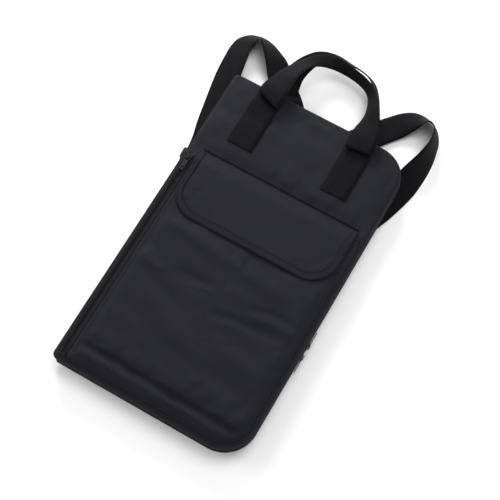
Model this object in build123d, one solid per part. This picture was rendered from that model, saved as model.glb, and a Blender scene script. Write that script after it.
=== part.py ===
"""Drum stick bag: a padded folding case for drum sticks, lying on its back.

It opens like a book about the spine on its left. The main zip runs round the other three sides.
Origin: centre of the back panel's outer face. +X to the zip side, +Y to the handles, +Z out of the front.
All sizes are in millimetres.
"""
import os
from math import atan2, cos, degrees, hypot, pi, radians, sin

from build123d import *

os.makedirs("parts", exist_ok=True)

# ---------------------------------------------------------------- driving dimensions
BAG_WIDTH = 275.0
BAG_HEIGHT = 470.0
ZIP_CORNER_R = 45.0         # the two corners that the zip goes round
SPINE_CORNER_R = 7.0        # the two corners on the spine
COVER_T = 1.6               # outer fabric with its backing
LINING_T = 0.8
FOAM_T = 5.0
WEB_WIDTH = 38.0            # every strap is 1.5 inch webbing
WEB_T = 1.6
GAP = 0.1                   # between layers that are sewn together
DENT_SPARE = 1.6            # round a handle leg that sinks into the back
CLEAR = 0.3                 # between pieces that move past each other

HALF_W = BAG_WIDTH / 2
HALF_H = BAG_HEIGHT / 2
SPINE_CUT_X = -HALF_W + 3.5     # the two trays stop here, next to the spine

# heights, from the back panel outwards
EDGE_RISE = 7.0             # the back panel curves up this much along its two long edges
RAMP_IN = HALF_W - 51.5     # where it starts to rise
RAMP_OUT = RAMP_IN + EDGE_RISE
REAR_LINING_Z = EDGE_RISE + COVER_T + GAP
REAR_WALL_TOP = 12.5
SPLIT_Z = 17.0              # the zip's centreline
FRONT_WALL_BOTTOM = 2 * SPLIT_Z - REAR_WALL_TOP
FRONT_Z = 33.0              # outer face of the front panel
FRONT_FOAM_Z = FRONT_Z - COVER_T - GAP - FOAM_T
FRONT_LINING_Z = FRONT_FOAM_Z - GAP - LINING_T

# spine, between the two hinge lines
SPINE_PIN_LOW = 8.0
SPINE_PIN_HIGH = 30.3
SPINE_END_GAP = 0.8
SPINE_HALF_H = HALF_H - SPINE_CORNER_R - 1.0

# main zip
CHAIN_GAP = 1.0             # between the two rows of teeth
COIL_Z = 2.6                # width of one row of teeth
COIL_T = 1.5
TAPE_T = 0.8
TAPE_INSET = COVER_T + GAP
TAPE_REACH = 7.4
SLIDER_LENGTH = 11.0
SLIDER_WIDTH = 7.6
SLIDER_PLATE_T = 1.5
SLIDER_WEB_T = 0.6
UPPER_SLIDER_Y = -58.0
LOWER_SLIDER_Y = -74.0
PULLER_LENGTH = 22.0
PULLER_WIDTH = 6.0

# front pocket, its side zip and its flap
SEAM_Y = 109.5              # the flap is sewn on along this line
POCKET_LEFT = -118.0
POCKET_RIGHT = 130.0
POCKET_BOTTOM = -HALF_H + 7.0
POCKET_MOUTH_Y = 95.0
POCKET_CORNER_R = 38.0
POCKET_T = 1.0
POCKET_FACE_Z = 39.0
SIDE_ZIP_X = -127.0
SIDE_ZIP_TOP = 98.0
SIDE_TAPE_Z = 36.0
SIDE_SLIDER_Y = 90.0
FLAP_CENTRE_X = 3.0
FLAP_WIDTH = 240.0
FLAP_LENGTH = 98.0
FLAP_CORNER_R = 40.0
FLAP_Z = 41.9
FLAP_T = 1.0
FLAP_SLOPE = 12.5           # length over which the flap climbs from the seam on to the pocket
BINDING_WIDTH = 7.5
HOOK_SIZE = (100.0, 20.0)
HOOK_Y = 34.0

# tote handles
LEG_BOTTOM_Y = 137.0
LEG_TOP_Y = 211.5
HANDLE_PIN_Y = 213.0
FRONT_HANDLE_X = (-77.0, 67.0)
REAR_HANDLE_X = (-66.0, 66.0)
FRONT_HANDLE_RISE = 111.0
REAR_HANDLE_RISE = 118.0
GRIP_WIDTH = 19.0           # the webbing is folded in half along the grip
GRIP_T = 3.4

# shoulder straps: (centre of the loop's bend, radius of its outer edge, knee of the outer edge,
# where the strap goes under the bag, lean of the run under the bag), all on the left-hand side
STRAP_ROOT_X = 52.0
STRAP_ROOT_WIDTH = 54.0
STRAP_ROOT_Z = 8.0
LEFT_STRAP = ((-139.0, 283.0), 36.0, (-165.5, 205.0), (-127.5, 119.0), 2.4)
RIGHT_STRAP = ((-120.0, 281.0), 39.0, (-158.0, 213.0), (-114.5, 119.0), 0.0)
STRAP_ROLL = 62.0           # how far the webbing stands up on edge in the bend
RUN_LENGTH = 300.0          # from there to the ring
RUN_LOW_Z = 1.8
RUN_HIGH_Z = 5.1
RING_WIDTH = 44.0
RING_LENGTH = 14.0
RING_BAR = 2.4
TAB_LENGTH = 27.0
ADJUSTER_WIDTH = 44.4
ADJUSTER_LENGTH = 16.0

# inside
SLEEVE_COUNT = 5
SLEEVE_PITCH = 48.0
SLEEVE_WALL = 1.2
SLEEVE_HEIGHT = 9.0
SLEEVE_BOTTOM = -HALF_H + 20.0
SLEEVE_TOP = 15.0
INNER_POCKET_DEPTH = 5.0
INNER_POCKET_SIZE = (200.0, 170.0)
INNER_POCKET_Y = 115.0


# ---------------------------------------------------------------- helpers
def slab(face, z0, z1):
    """A flat face on the XY plane made solid from z0 to z1."""
    return Pos(0, 0, z0) * extrude(face, z1 - z0)


def block(x, y, z):
    """A box from three (low, high) pairs."""
    centre = [(low + high) / 2 for low, high in (x, y, z)]
    return Pos(*centre) * Box(x[1] - x[0], y[1] - y[0], z[1] - z[0])


def outline(inset):
    """The bag's plan outline, drawn in by inset."""
    plate = Rectangle(BAG_WIDTH - 2 * inset, BAG_HEIGHT - 2 * inset)
    plate = fillet(plate.vertices().group_by(Axis.X)[-1], ZIP_CORNER_R - inset)
    return fillet(plate.vertices().group_by(Axis.X)[0], SPINE_CORNER_R - inset)


def beside_spine(solid, z0=-1.0, z1=100.0):
    """Cuts away what would reach the spine, between two heights."""
    return solid - block((-BAG_WIDTH, SPINE_CUT_X), (-BAG_HEIGHT, BAG_HEIGHT), (z0, z1))


def band(inset, thickness, z0, z1):
    """A strip of wall that follows the zip's three sides."""
    ring = slab(outline(inset), z0, z1) - slab(outline(inset + thickness), z0 - 1, z1 + 1)
    return beside_spine(ring)


def above_back(offset):
    """The space above the back panel's underside, raised by offset."""
    reach = BAG_WIDTH
    low, high, top = offset, EDGE_RISE + offset, 100.0
    points = [
        (-reach, high), (-RAMP_OUT, high), (-RAMP_IN, low), (RAMP_IN, low), (RAMP_OUT, high),
        (reach, high), (reach, top), (-reach, top),
    ]
    face = make_face(Plane.XZ * Polyline(*points, close=True))
    return extrude(face, BAG_HEIGHT, both=True)


def profile(points, half_width):
    """A closed (y, z) outline made solid across X."""
    face = make_face(Plane.YZ * Polyline(*points, close=True))
    return extrude(face, half_width, both=True)


def section(centre, across, out, width, thickness):
    """A rectangle of webbing in space: across is along its width, out is through its thickness."""
    centre, across, out = Vector(*centre), Vector(*across), Vector(*out)
    half_a, half_o = across * (width / 2), out * (thickness / 2)
    corners = [
        centre - half_a - half_o, centre + half_a - half_o,
        centre + half_a + half_o, centre - half_a + half_o,
    ]
    return make_face(Polyline(*corners, close=True))


def station(x, y, z, heading, roll, width, thickness):
    """Webbing that travels along heading in plan, with its left-hand edge raised by roll."""
    turn, lean = radians(heading + 90), radians(roll)
    across = (cos(lean) * cos(turn), cos(lean) * sin(turn), sin(lean))
    out = (-sin(lean) * cos(turn), -sin(lean) * sin(turn), cos(lean))
    return section((x, y, z), across, out, width, thickness)


# ---------------------------------------------------------------- rear half
def rear_leg_dent(x, z0, z1, spare):
    """Where a leg of the rear handle sinks into the padded back."""
    half = WEB_WIDTH / 2 + spare
    return block((x - half, x + half), (LEG_BOTTOM_Y - spare, BAG_HEIGHT), (z0, z1))


def rear_cover():
    """Padded tray: back panel and the rear half of the side wall."""
    dent = WEB_T + 0.6
    outer = slab(outline(0), 0, REAR_WALL_TOP) & above_back(0)
    inner = slab(outline(COVER_T), -1, REAR_WALL_TOP + 1) & above_back(COVER_T)
    for x in REAR_HANDLE_X:
        inner -= rear_leg_dent(x, -1, dent + COVER_T, DENT_SPARE + COVER_T)
    tray = outer - inner
    for x in REAR_HANDLE_X:
        tray -= rear_leg_dent(x, -1, dent, DENT_SPARE)
    return beside_spine(tray, EDGE_RISE + COVER_T)


def rear_foam():
    pad = slab(outline(6), 0, REAR_LINING_Z - GAP) & above_back(COVER_T + GAP)
    for x in REAR_HANDLE_X:
        pad -= rear_leg_dent(x, -1, WEB_T + 0.6 + COVER_T + GAP, DENT_SPARE + COVER_T + GAP)
    return pad & block((-RAMP_OUT, RAMP_OUT), (-HALF_H, HALF_H), (0, FRONT_Z))


def rear_lining():
    sheet = slab(outline(TAPE_INSET + TAPE_T + 0.2), REAR_LINING_Z, REAR_LINING_Z + LINING_T)
    return beside_spine(sheet)


def stick_sleeves():
    """One sewn panel with a row of open-ended channels for pairs of sticks."""
    floor = REAR_LINING_Z + LINING_T + GAP
    half = SLEEVE_COUNT * SLEEVE_PITCH / 2 + SLEEVE_WALL / 2
    panel = block((-half, half), (SLEEVE_BOTTOM, SLEEVE_TOP), (floor, floor + SLEEVE_HEIGHT))
    for n in range(SLEEVE_COUNT):
        x = (n - (SLEEVE_COUNT - 1) / 2) * SLEEVE_PITCH
        reach = (SLEEVE_PITCH - SLEEVE_WALL) / 2
        panel -= block(
            (x - reach, x + reach),
            (SLEEVE_BOTTOM + SLEEVE_WALL, SLEEVE_TOP + 1),
            (floor - 1, floor + SLEEVE_HEIGHT - SLEEVE_WALL),
        )
    return panel


# ---------------------------------------------------------------- main zip
def zip_tape(side):
    """One tape of the main zip: side is -1 for the rear half and 1 for the front."""
    edge = SPLIT_Z + side * (CHAIN_GAP / 2 + GAP)
    far = edge + side * TAPE_REACH
    return band(TAPE_INSET, TAPE_T, min(edge, far), max(edge, far))


def zip_coil(side):
    edge = SPLIT_Z + side * CHAIN_GAP / 2
    far = edge + side * COIL_Z
    row = band(GAP, COIL_T, min(edge, far), max(edge, far))
    return row - block((-BAG_WIDTH, SPINE_CUT_X + 4), (-BAG_HEIGHT, BAG_HEIGHT), (0, 100))


def zip_stops():
    """The clip at each end of the main zip, on the rear tape."""
    z = (SPLIT_Z - CHAIN_GAP / 2 - COIL_Z, SPLIT_Z - CHAIN_GAP / 2)
    x = (SPINE_CUT_X + 0.5, SPINE_CUT_X + 3.7)
    y = (HALF_H - GAP - COIL_T, HALF_H - GAP)
    top = block(x, y, z)
    return Compound(children=[top, mirror(top, Plane.XZ)])


def main_slider(y):
    """Two plates either side of the teeth, joined by the web that runs between the rows."""
    half, reach = SLIDER_LENGTH / 2, SLIDER_WIDTH / 2
    outer = HALF_W + 0.4
    inner = HALF_W - TAPE_INSET - TAPE_T - 0.4
    span, z = (y - half, y + half), (SPLIT_Z - reach, SPLIT_Z + reach)
    body = block((outer, outer + SLIDER_PLATE_T), span, z)
    body += block((inner - 1.1, inner), span, z)
    web_z = (SPLIT_Z - SLIDER_WEB_T / 2, SPLIT_Z + SLIDER_WEB_T / 2)
    body += block((inner - 1.1, outer + SLIDER_PLATE_T), span, web_z)
    top = outer + SLIDER_PLATE_T
    for end in (-1, 1):
        post = (y + end * 2.6 - 0.5, y + end * 2.6 + 0.5)
        body += block((top, top + 2.4), post, (SPLIT_Z - 1, SPLIT_Z + 1))
    return body + block((top + 1.6, top + 2.4), (y - 3.1, y + 3.1), (SPLIT_Z - 1, SPLIT_Z + 1))


def puller(x, y, z, way):
    """Pull tab lying flat along Y: its cross bar is the pivot at (x, y, z)."""
    bar, arm = 0.5, 0.8
    half = PULLER_WIDTH / 2
    tab = block((x - 0.4, x + 0.4), (y + way * 6, y + way * PULLER_LENGTH)[::way], (z - half, z + half))
    tab = fillet(tab.edges().filter_by(Axis.X), 1.2)
    tab -= block((x - 1, x + 1), (y + way * 16, y + way * 19)[::way], (z - 1.5, z + 1.5))
    for end in (-1, 1):
        inner = z + end * (half - arm)
        side = (min(inner, z + end * half), max(inner, z + end * half))
        tab += block((x - 0.4, x + 0.4), (y - bar, y + bar + 6.5)[::1] if way > 0
                     else (y - bar - 6.5, y + bar), side)
    return tab + Pos(x, y, z) * Cylinder(bar, 2 * half)


# ---------------------------------------------------------------- spine
def spine_panel():
    z = (SPINE_PIN_LOW + SPINE_END_GAP, SPINE_PIN_HIGH - SPINE_END_GAP)
    return block((-HALF_W, -HALF_W + COVER_T), (-SPINE_HALF_H, SPINE_HALF_H), z)


def spine_lining():
    x = -HALF_W + COVER_T + GAP
    z = (SPINE_PIN_LOW + 2, SPINE_PIN_HIGH - 2)
    return block((x, x + LINING_T), (-SPINE_HALF_H + 2, SPINE_HALF_H - 2), z)


# ---------------------------------------------------------------- front half
def front_cover():
    """Padded tray turned face up: front panel and the front half of the side wall."""
    tray = slab(outline(0), FRONT_WALL_BOTTOM, FRONT_Z)
    tray -= slab(outline(COVER_T), FRONT_WALL_BOTTOM - 1, FRONT_Z - COVER_T)
    return beside_spine(tray, 0, FRONT_Z - COVER_T)


def front_foam():
    return beside_spine(slab(outline(5), FRONT_FOAM_Z, FRONT_FOAM_Z + FOAM_T))


def front_lining():
    sheet = slab(outline(TAPE_INSET + TAPE_T + 0.2), FRONT_LINING_Z, FRONT_LINING_Z + LINING_T)
    return beside_spine(sheet)


def inner_pocket():
    """Open-topped pocket sewn to the front lining, for a drum key and small parts."""
    half, low, high = INNER_POCKET_SIZE[0] / 2, INNER_POCKET_Y - INNER_POCKET_SIZE[1] / 2, \
        INNER_POCKET_Y + INNER_POCKET_SIZE[1] / 2
    top = FRONT_LINING_Z - GAP
    pocket = block((-half, half), (low, high), (top - INNER_POCKET_DEPTH, top))
    return pocket - block(
        (-half + LINING_T, half - LINING_T),
        (low + LINING_T, high + 1),
        (top - INNER_POCKET_DEPTH + LINING_T, top + 1),
    )


def pocket_outline(inset):
    width = POCKET_RIGHT - POCKET_LEFT - 2 * inset
    height = POCKET_MOUTH_Y - POCKET_BOTTOM - inset
    plate = Rectangle(width, height)
    low = plate.vertices().group_by(Axis.Y)[0].sort_by(Axis.X)
    plate = fillet(low[-1], POCKET_CORNER_R - inset)
    x = (POCKET_RIGHT + POCKET_LEFT) / 2
    return Pos(x, POCKET_MOUTH_Y - height / 2) * plate


def pocket_panel():
    return slab(pocket_outline(0), POCKET_FACE_Z, POCKET_FACE_Z + POCKET_T)


def pocket_gusset():
    """The pocket's side and bottom walls."""
    z0, z1 = FRONT_Z + GAP, POCKET_FACE_Z - GAP
    walls = slab(pocket_outline(0), z0, z1) - slab(pocket_outline(POCKET_T), z0 - 1, z1 + 1)
    return walls - block((POCKET_LEFT + 3, POCKET_RIGHT - 3), (POCKET_MOUTH_Y - 3, 200), (0, 100))


def side_strip():
    """Fabric either side of the pocket's side zip, held above the front panel."""
    y = (POCKET_BOTTOM, SIDE_ZIP_TOP)
    z = (SIDE_TAPE_Z, SIDE_TAPE_Z + TAPE_T)
    left = block((-HALF_W + 1.5, SIDE_ZIP_X - 4.6), y, z)
    left += block((-HALF_W + 1.5, -HALF_W + 2.5), y, (FRONT_Z + GAP, SIDE_TAPE_Z + TAPE_T))
    right = block((SIDE_ZIP_X + 4.6, POCKET_LEFT - 0.2), y, z)
    right += block((POCKET_LEFT - 1.2, POCKET_LEFT - 0.2), y, (FRONT_Z + GAP, SIDE_TAPE_Z + TAPE_T))
    return Compound(children=[left, right])


def side_tape():
    y = (POCKET_BOTTOM, SIDE_ZIP_TOP)
    z = (SIDE_TAPE_Z, SIDE_TAPE_Z + TAPE_T)
    left = block((SIDE_ZIP_X - 4.5, SIDE_ZIP_X - CHAIN_GAP / 2 - GAP), y, z)
    return Compound(children=[left, mirror(left, Plane.YZ.offset(SIDE_ZIP_X))])


def side_coil():
    y = (POCKET_BOTTOM + 3, SIDE_ZIP_TOP - 1)
    z = (SIDE_TAPE_Z + TAPE_T + GAP, SIDE_TAPE_Z + TAPE_T + GAP + COIL_T)
    left = block((SIDE_ZIP_X - CHAIN_GAP / 2 - COIL_Z, SIDE_ZIP_X - CHAIN_GAP / 2), y, z)
    return Compound(children=[left, mirror(left, Plane.YZ.offset(SIDE_ZIP_X))])


SIDE_SLIDER_TOP = SIDE_TAPE_Z + TAPE_T + GAP + COIL_T + 0.4 + SLIDER_PLATE_T


def side_slider():
    y, half, reach = SIDE_SLIDER_Y, SLIDER_LENGTH / 2, SLIDER_WIDTH / 2
    span = (y - half, y + half - 2)
    x = (SIDE_ZIP_X - reach, SIDE_ZIP_X + reach)
    top = SIDE_SLIDER_TOP
    body = block(x, span, (top - SLIDER_PLATE_T, top))
    body += block(x, span, (SIDE_TAPE_Z - 1.5, SIDE_TAPE_Z - 0.4))
    web_x = (SIDE_ZIP_X - SLIDER_WEB_T / 2, SIDE_ZIP_X + SLIDER_WEB_T / 2)
    body += block(web_x, span, (SIDE_TAPE_Z - 1.5, top))
    centre = y - 1
    for end in (-1, 1):
        post = (centre + end * 2.6 - 0.5, centre + end * 2.6 + 0.5)
        body += block((SIDE_ZIP_X - 1, SIDE_ZIP_X + 1), post, (top, top + 2.4))
    bail = (centre - 3.1, centre + 3.1)
    return body + block((SIDE_ZIP_X - 1, SIDE_ZIP_X + 1), bail, (top + 1.6, top + 2.4))


def side_puller():
    """The same tab as on the main zip, turned to lie on the bag's face."""
    flat = puller(0, 0, 0, -1)
    return Pos(SIDE_ZIP_X, SIDE_SLIDER_Y - 1, SIDE_SLIDER_TOP + 0.8) * Rot(0, -90, 0) * flat


def loop_tape():
    """The soft half of the flap's fastener, on the pocket."""
    half_x, half_y = HOOK_SIZE[0] / 2, HOOK_SIZE[1] / 2
    z = POCKET_FACE_Z + POCKET_T + GAP
    return block((-half_x, half_x), (HOOK_Y - half_y, HOOK_Y + half_y), (z, z + 0.6))


def leg(x, z):
    half = WEB_WIDTH / 2
    return block((x - half, x + half), (LEG_BOTTOM_Y, LEG_TOP_Y), (z, z + WEB_T))


# ---------------------------------------------------------------- flap
def flap_outline(inset):
    width, height = FLAP_WIDTH - 2 * inset, FLAP_LENGTH - inset
    plate = Rectangle(width, height)
    low = plate.vertices().group_by(Axis.Y)[0]
    return Pos(FLAP_CENTRE_X, SEAM_Y - height / 2) * fillet(low, FLAP_CORNER_R - inset)


def flap_cover():
    """Outer fabric of the flap: sewn down at the seam, it climbs on to the pocket and lies flat."""
    z = FLAP_Z + 0.7
    foot = FRONT_Z + CLEAR
    bend = SEAM_Y - FLAP_SLOPE
    points = [
        (SEAM_Y, foot), (SEAM_Y, foot + FLAP_T), (bend, z + FLAP_T), (-HALF_H, z + FLAP_T),
        (-HALF_H, z), (bend, z),
    ]
    return profile(points, BAG_WIDTH) & slab(flap_outline(0), 0, 100)


def flap_lining():
    sheet = slab(flap_outline(0.5), FLAP_Z, FLAP_Z + 0.6)
    return sheet - block((-BAG_WIDTH, BAG_WIDTH), (SEAM_Y - FLAP_SLOPE - 1, BAG_HEIGHT), (0, 100))


def flap_binding():
    z = FLAP_Z + 0.7 + FLAP_T + GAP
    ring = slab(flap_outline(0), z, z + 0.6) - slab(flap_outline(BINDING_WIDTH), z - 1, z + 1)
    return ring - block((-BAG_WIDTH, BAG_WIDTH), (SEAM_Y - FLAP_SLOPE - 1, BAG_HEIGHT), (0, 100))


def hook_tape():
    """The stiff half of the fastener, under the flap."""
    half_x, half_y = HOOK_SIZE[0] / 2, HOOK_SIZE[1] / 2
    return block((-half_x, half_x), (HOOK_Y - half_y, HOOK_Y + half_y), (FLAP_Z - GAP - 0.6, FLAP_Z - GAP))


# ---------------------------------------------------------------- tote handles
def handle_loop(feet, rise, foot_z, grip_z):
    """The free part of a tote handle: an elliptical arch whose grip is folded in half."""
    centre, half = sum(feet) / 2, (feet[1] - feet[0]) / 2
    steps = 16
    sections = []
    for n in range(steps + 1):
        t = pi * n / steps
        x, y = centre - half * cos(t), HANDLE_PIN_Y + 0.5 + rise * sin(t)
        heading = degrees(atan2(rise * cos(t), half * sin(t)))
        fold = min(1.0, max(0.0, (min(n, steps - n) - 1) / 2.5))
        width = WEB_WIDTH + (GRIP_WIDTH - WEB_WIDTH) * fold
        thickness = WEB_T + (GRIP_T - WEB_T) * fold
        z = foot_z + (grip_z - foot_z) * sin(t) ** 4
        sections.append(station(x, y, z, heading, 0, width, thickness))
    return loft(sections, ruled=True)


# ---------------------------------------------------------------- shoulder straps
def strap_loop(plan):
    """The free part of a shoulder strap, from its root to where it goes under the bag."""
    (cx, cy), radius, knee, dive, lean = plan
    sections = [section((-STRAP_ROOT_X, HALF_H + 0.2, STRAP_ROOT_Z), (1, 0, 0), (0, 0, 1),
                        STRAP_ROOT_WIDTH, WEB_T)]
    edge = [(46, 46.0), (66, 55.0), (86, 60.0), (104, STRAP_ROLL), (122, STRAP_ROLL), (140, 60.0),
            (158, 50.0), (174, 32.0), (188, 22.0)]
    stops = []
    for angle, roll in edge:
        a = radians(angle)
        stops.append((cx + radius * cos(a), cy + radius * sin(a), angle + 90, roll))
    drop = degrees(atan2(dive[1] - knee[1], dive[0] - WEB_WIDTH / 2 - knee[0])) % 360
    stops.append((stops[-1][0] * 0.45 + knee[0] * 0.55, stops[-1][1] * 0.45 + knee[1] * 0.55, 275, 6.0))
    stops.append((knee[0], knee[1], (275 + drop) / 2, 1.0))
    stops.append(((knee[0] + dive[0] - WEB_WIDTH / 2) / 2, (knee[1] + dive[1]) / 2, drop, 0.0))
    x0, y0, heading, roll = stops[0]
    sections.append(strap_station((-STRAP_ROOT_X - WEB_WIDTH / 2 + x0) / 2 + 6,
                                  (HALF_H + y0) / 2 - 2, 138, 25.0, 5.0))
    for x, y, heading, roll in stops:
        lift = max(0.0, 6.0 * (1 - hypot(x - x0, y - y0) / 25)) if heading < 180 else 0.0
        sections.append(strap_station(x, y, heading, roll, 0.2 + lift))
    end = radians(270 + lean)
    foot = (dive[0], dive[1], RUN_LOW_Z + WEB_T / 2)
    sections.append(section(foot, (-sin(end), cos(end), 0), (0, 0, 1), WEB_WIDTH, WEB_T))
    return loft(sections, ruled=True)


def strap_station(x, y, heading, roll, floor):
    """A station given by the strap's outer edge, which is the lower one."""
    a, r = radians(heading + 90), radians(roll)
    half = WEB_WIDTH / 2
    z = floor + half * sin(r) + WEB_T / 2 * cos(r)
    return station(x + half * cos(r) * cos(a), y + half * cos(r) * sin(a), z, heading, roll,
                   WEB_WIDTH, WEB_T)


def under_bag(plan):
    """Place of the run under the bag: local -Y goes along the strap, from where it dives under."""
    _, _, _, dive, lean = plan
    return Pos(dive[0], dive[1], 0) * Rot(0, 0, lean)


def strap_run(plan):
    """The strap under the bag: down to the ring, round its bar and back up to the adjuster."""
    low, high, top = RUN_LOW_Z, RUN_HIGH_Z, RUN_HIGH_Z + WEB_T
    end, stop = -RUN_LENGTH, -10.0
    points = [
        (0, low), (end - WEB_T, low), (end - WEB_T, top), (stop, top),
        (stop, high), (end, high), (end, low + WEB_T), (0, low + WEB_T),
    ]
    return under_bag(plan) * profile(points, WEB_WIDTH / 2)


def shoulder_strap(plan):
    return strap_loop(plan) + strap_run(plan)


def strap_ring(plan):
    """Flat rectangular ring between the strap and its tab."""
    top = -RUN_LENGTH + 0.2 + RING_BAR
    half = RING_WIDTH / 2
    z = (RUN_LOW_Z + WEB_T + 0.1, RUN_HIGH_Z - 0.1)
    ring = block((-half, half), (top - RING_LENGTH, top), z)
    ring -= block((-half + RING_BAR, half - RING_BAR),
                  (top - RING_LENGTH + RING_BAR, top - RING_BAR), (0, 10))
    return under_bag(plan) * ring


def anchor_tab(plan):
    """Short webbing tab, folded round the ring and sewn to the back panel."""
    start = -RUN_LENGTH + 0.2 + 2 * RING_BAR - RING_LENGTH + 2.0
    half = WEB_WIDTH / 2
    tab = block((-half, half), (start - TAB_LENGTH, start), (RUN_LOW_Z, RUN_HIGH_Z + WEB_T))
    hole = (start - WEB_T - 5.2, start - WEB_T)
    tab -= block((-WEB_WIDTH, WEB_WIDTH), hole, (RUN_LOW_Z + WEB_T, RUN_HIGH_Z))
    return under_bag(plan) * tab


def adjuster(plan):
    """Slide adjuster: the strap runs through its window."""
    half = ADJUSTER_WIDTH / 2
    window = WEB_WIDTH / 2 + 0.4
    y = (-6.0 - ADJUSTER_LENGTH, -6.0)
    frame = block((-half, half), y, (0.4, RUN_HIGH_Z - CLEAR))
    frame = fillet(frame.edges().filter_by(Axis.Z), 2.0)
    frame -= block((-window, window), (y[0] - 1, y[1] + 1), (RUN_LOW_Z - CLEAR, RUN_LOW_Z + WEB_T + CLEAR))
    return under_bag(plan) * frame


def right_side(make, plan):
    """A piece of the right-hand strap, drawn on the left and mirrored."""
    return mirror(make(plan), Plane.YZ)


# ---------------------------------------------------------------- the nodes
def nodes():
    pull_x = HALF_W + 0.4 + SLIDER_PLATE_T + 0.8
    parts = {
        "rear_cover": rear_cover(),
        "rear_foam": rear_foam(),
        "rear_lining": rear_lining(),
        "stick_sleeves": stick_sleeves(),
        "rear_zip_tape": zip_tape(-1),
        "rear_zip_coil": zip_coil(-1),
        "main_zip_stops": zip_stops(),
        "upper_slider": main_slider(UPPER_SLIDER_Y),
        "upper_puller": puller(pull_x, UPPER_SLIDER_Y, SPLIT_Z, 1),
        "lower_slider": main_slider(LOWER_SLIDER_Y),
        "lower_puller": puller(pull_x, LOWER_SLIDER_Y, SPLIT_Z, -1),
        "spine_panel": spine_panel(),
        "spine_lining": spine_lining(),
        "front_cover": front_cover(),
        "front_foam": front_foam(),
        "front_lining": front_lining(),
        "inner_pocket": inner_pocket(),
        "front_zip_tape": zip_tape(1),
        "front_zip_coil": zip_coil(1),
        "pocket_panel": pocket_panel(),
        "pocket_gusset": pocket_gusset(),
        "pocket_loop_tape": loop_tape(),
        "side_zip_strip": side_strip(),
        "side_zip_tape": side_tape(),
        "side_zip_coil": side_coil(),
        "side_slider": side_slider(),
        "side_puller": side_puller(),
        "flap_cover": flap_cover(),
        "flap_lining": flap_lining(),
        "flap_binding": flap_binding(),
        "flap_hook_tape": hook_tape(),
        "front_handle_left_leg": leg(FRONT_HANDLE_X[0], FRONT_Z + GAP),
        "front_handle_right_leg": leg(FRONT_HANDLE_X[1], FRONT_Z + GAP),
        "front_handle": handle_loop(FRONT_HANDLE_X, FRONT_HANDLE_RISE, FRONT_Z + 1.2, FRONT_Z + 1.0),
        "rear_handle_left_leg": leg(REAR_HANDLE_X[0], GAP),
        "rear_handle_right_leg": leg(REAR_HANDLE_X[1], GAP),
        "rear_handle": handle_loop(REAR_HANDLE_X, REAR_HANDLE_RISE, GAP + WEB_T / 2, 22.0),
        "left_shoulder_strap": shoulder_strap(LEFT_STRAP),
        "left_strap_ring": strap_ring(LEFT_STRAP),
        "left_anchor_tab": anchor_tab(LEFT_STRAP),
        "left_adjuster": adjuster(LEFT_STRAP),
        "right_shoulder_strap": right_side(shoulder_strap, RIGHT_STRAP),
        "right_strap_ring": right_side(strap_ring, RIGHT_STRAP),
        "right_anchor_tab": right_side(anchor_tab, RIGHT_STRAP),
        "right_adjuster": right_side(adjuster, RIGHT_STRAP),
    }
    return parts


for name, shape in nodes().items():
    export_step(shape, f"parts/{name}.step")
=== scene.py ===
# %% [markdown]
# # A drum stick bag, dressed in cloth
# The CAD model already holds the bag's frame: where each layer lies and how it folds. It is loaded
# first and never moved. Every piece below takes its place from it, in the same axes: the bag lies on
# its back, +X is the side with the zip, +Y the side with the handles, and +Z comes out of the front.

from math import cos, hypot, pi, radians, sin

import bmesh
import bpy
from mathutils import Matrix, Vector, noise
from mathutils.bvhtree import BVHTree


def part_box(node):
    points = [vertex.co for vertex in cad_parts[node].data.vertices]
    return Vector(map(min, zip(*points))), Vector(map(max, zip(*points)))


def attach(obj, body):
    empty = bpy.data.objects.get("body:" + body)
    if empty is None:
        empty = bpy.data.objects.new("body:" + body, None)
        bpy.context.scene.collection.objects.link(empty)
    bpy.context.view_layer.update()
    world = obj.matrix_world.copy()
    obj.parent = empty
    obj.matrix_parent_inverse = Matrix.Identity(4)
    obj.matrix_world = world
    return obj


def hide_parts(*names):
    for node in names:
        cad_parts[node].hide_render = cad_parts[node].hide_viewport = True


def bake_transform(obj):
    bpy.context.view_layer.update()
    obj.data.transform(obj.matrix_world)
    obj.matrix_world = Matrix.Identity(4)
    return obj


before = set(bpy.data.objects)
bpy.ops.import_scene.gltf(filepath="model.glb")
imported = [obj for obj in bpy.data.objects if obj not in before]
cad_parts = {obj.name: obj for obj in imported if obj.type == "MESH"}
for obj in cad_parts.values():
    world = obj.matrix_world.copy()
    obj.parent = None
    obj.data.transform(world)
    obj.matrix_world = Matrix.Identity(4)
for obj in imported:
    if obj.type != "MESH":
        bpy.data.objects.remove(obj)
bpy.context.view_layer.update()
MM = 0.001


# %% [markdown]
# Cloth sizes are easier to think about in millimetres, so the shapes are worked out in millimetres
# and turned to metres in the one helper that makes a mesh. `reach` gives a CAD node's box as low and
# high along each axis, and most of the numbers below start from such a box.

# %% Places from the frame
def reach(node):
    """A CAD node's (low, high) along x, y and z, in millimetres."""
    low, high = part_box(node)
    return [(a / MM, b / MM) for a, b in zip(low, high)]


REAR_X, REAR_Y = reach("rear_cover")[:2]
FRONT_Z = reach("front_cover")[2]
FLAP_X, FLAP_Y, FLAP_Z = reach("flap_cover")
POCKET_X, POCKET_Y, POCKET_Z = reach("pocket_panel")
STRIP_X, STRIP_Y = reach("side_zip_strip")[:2]
HALF_W, HALF_H = REAR_X[1], REAR_Y[1]
SEAM_Y = FLAP_Y[1]
WEB_WIDTH = reach("front_handle_left_leg")[0][1] - reach("front_handle_left_leg")[0][0]
WEB_T = 1.6
ZIP_CORNER = 45.0
SPINE_CORNER = 7.0
print(f"bag {2 * HALF_W:.0f} x {2 * HALF_H:.0f} mm, webbing {WEB_WIDTH:.0f} mm, seam at y {SEAM_Y:.1f}")


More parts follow.
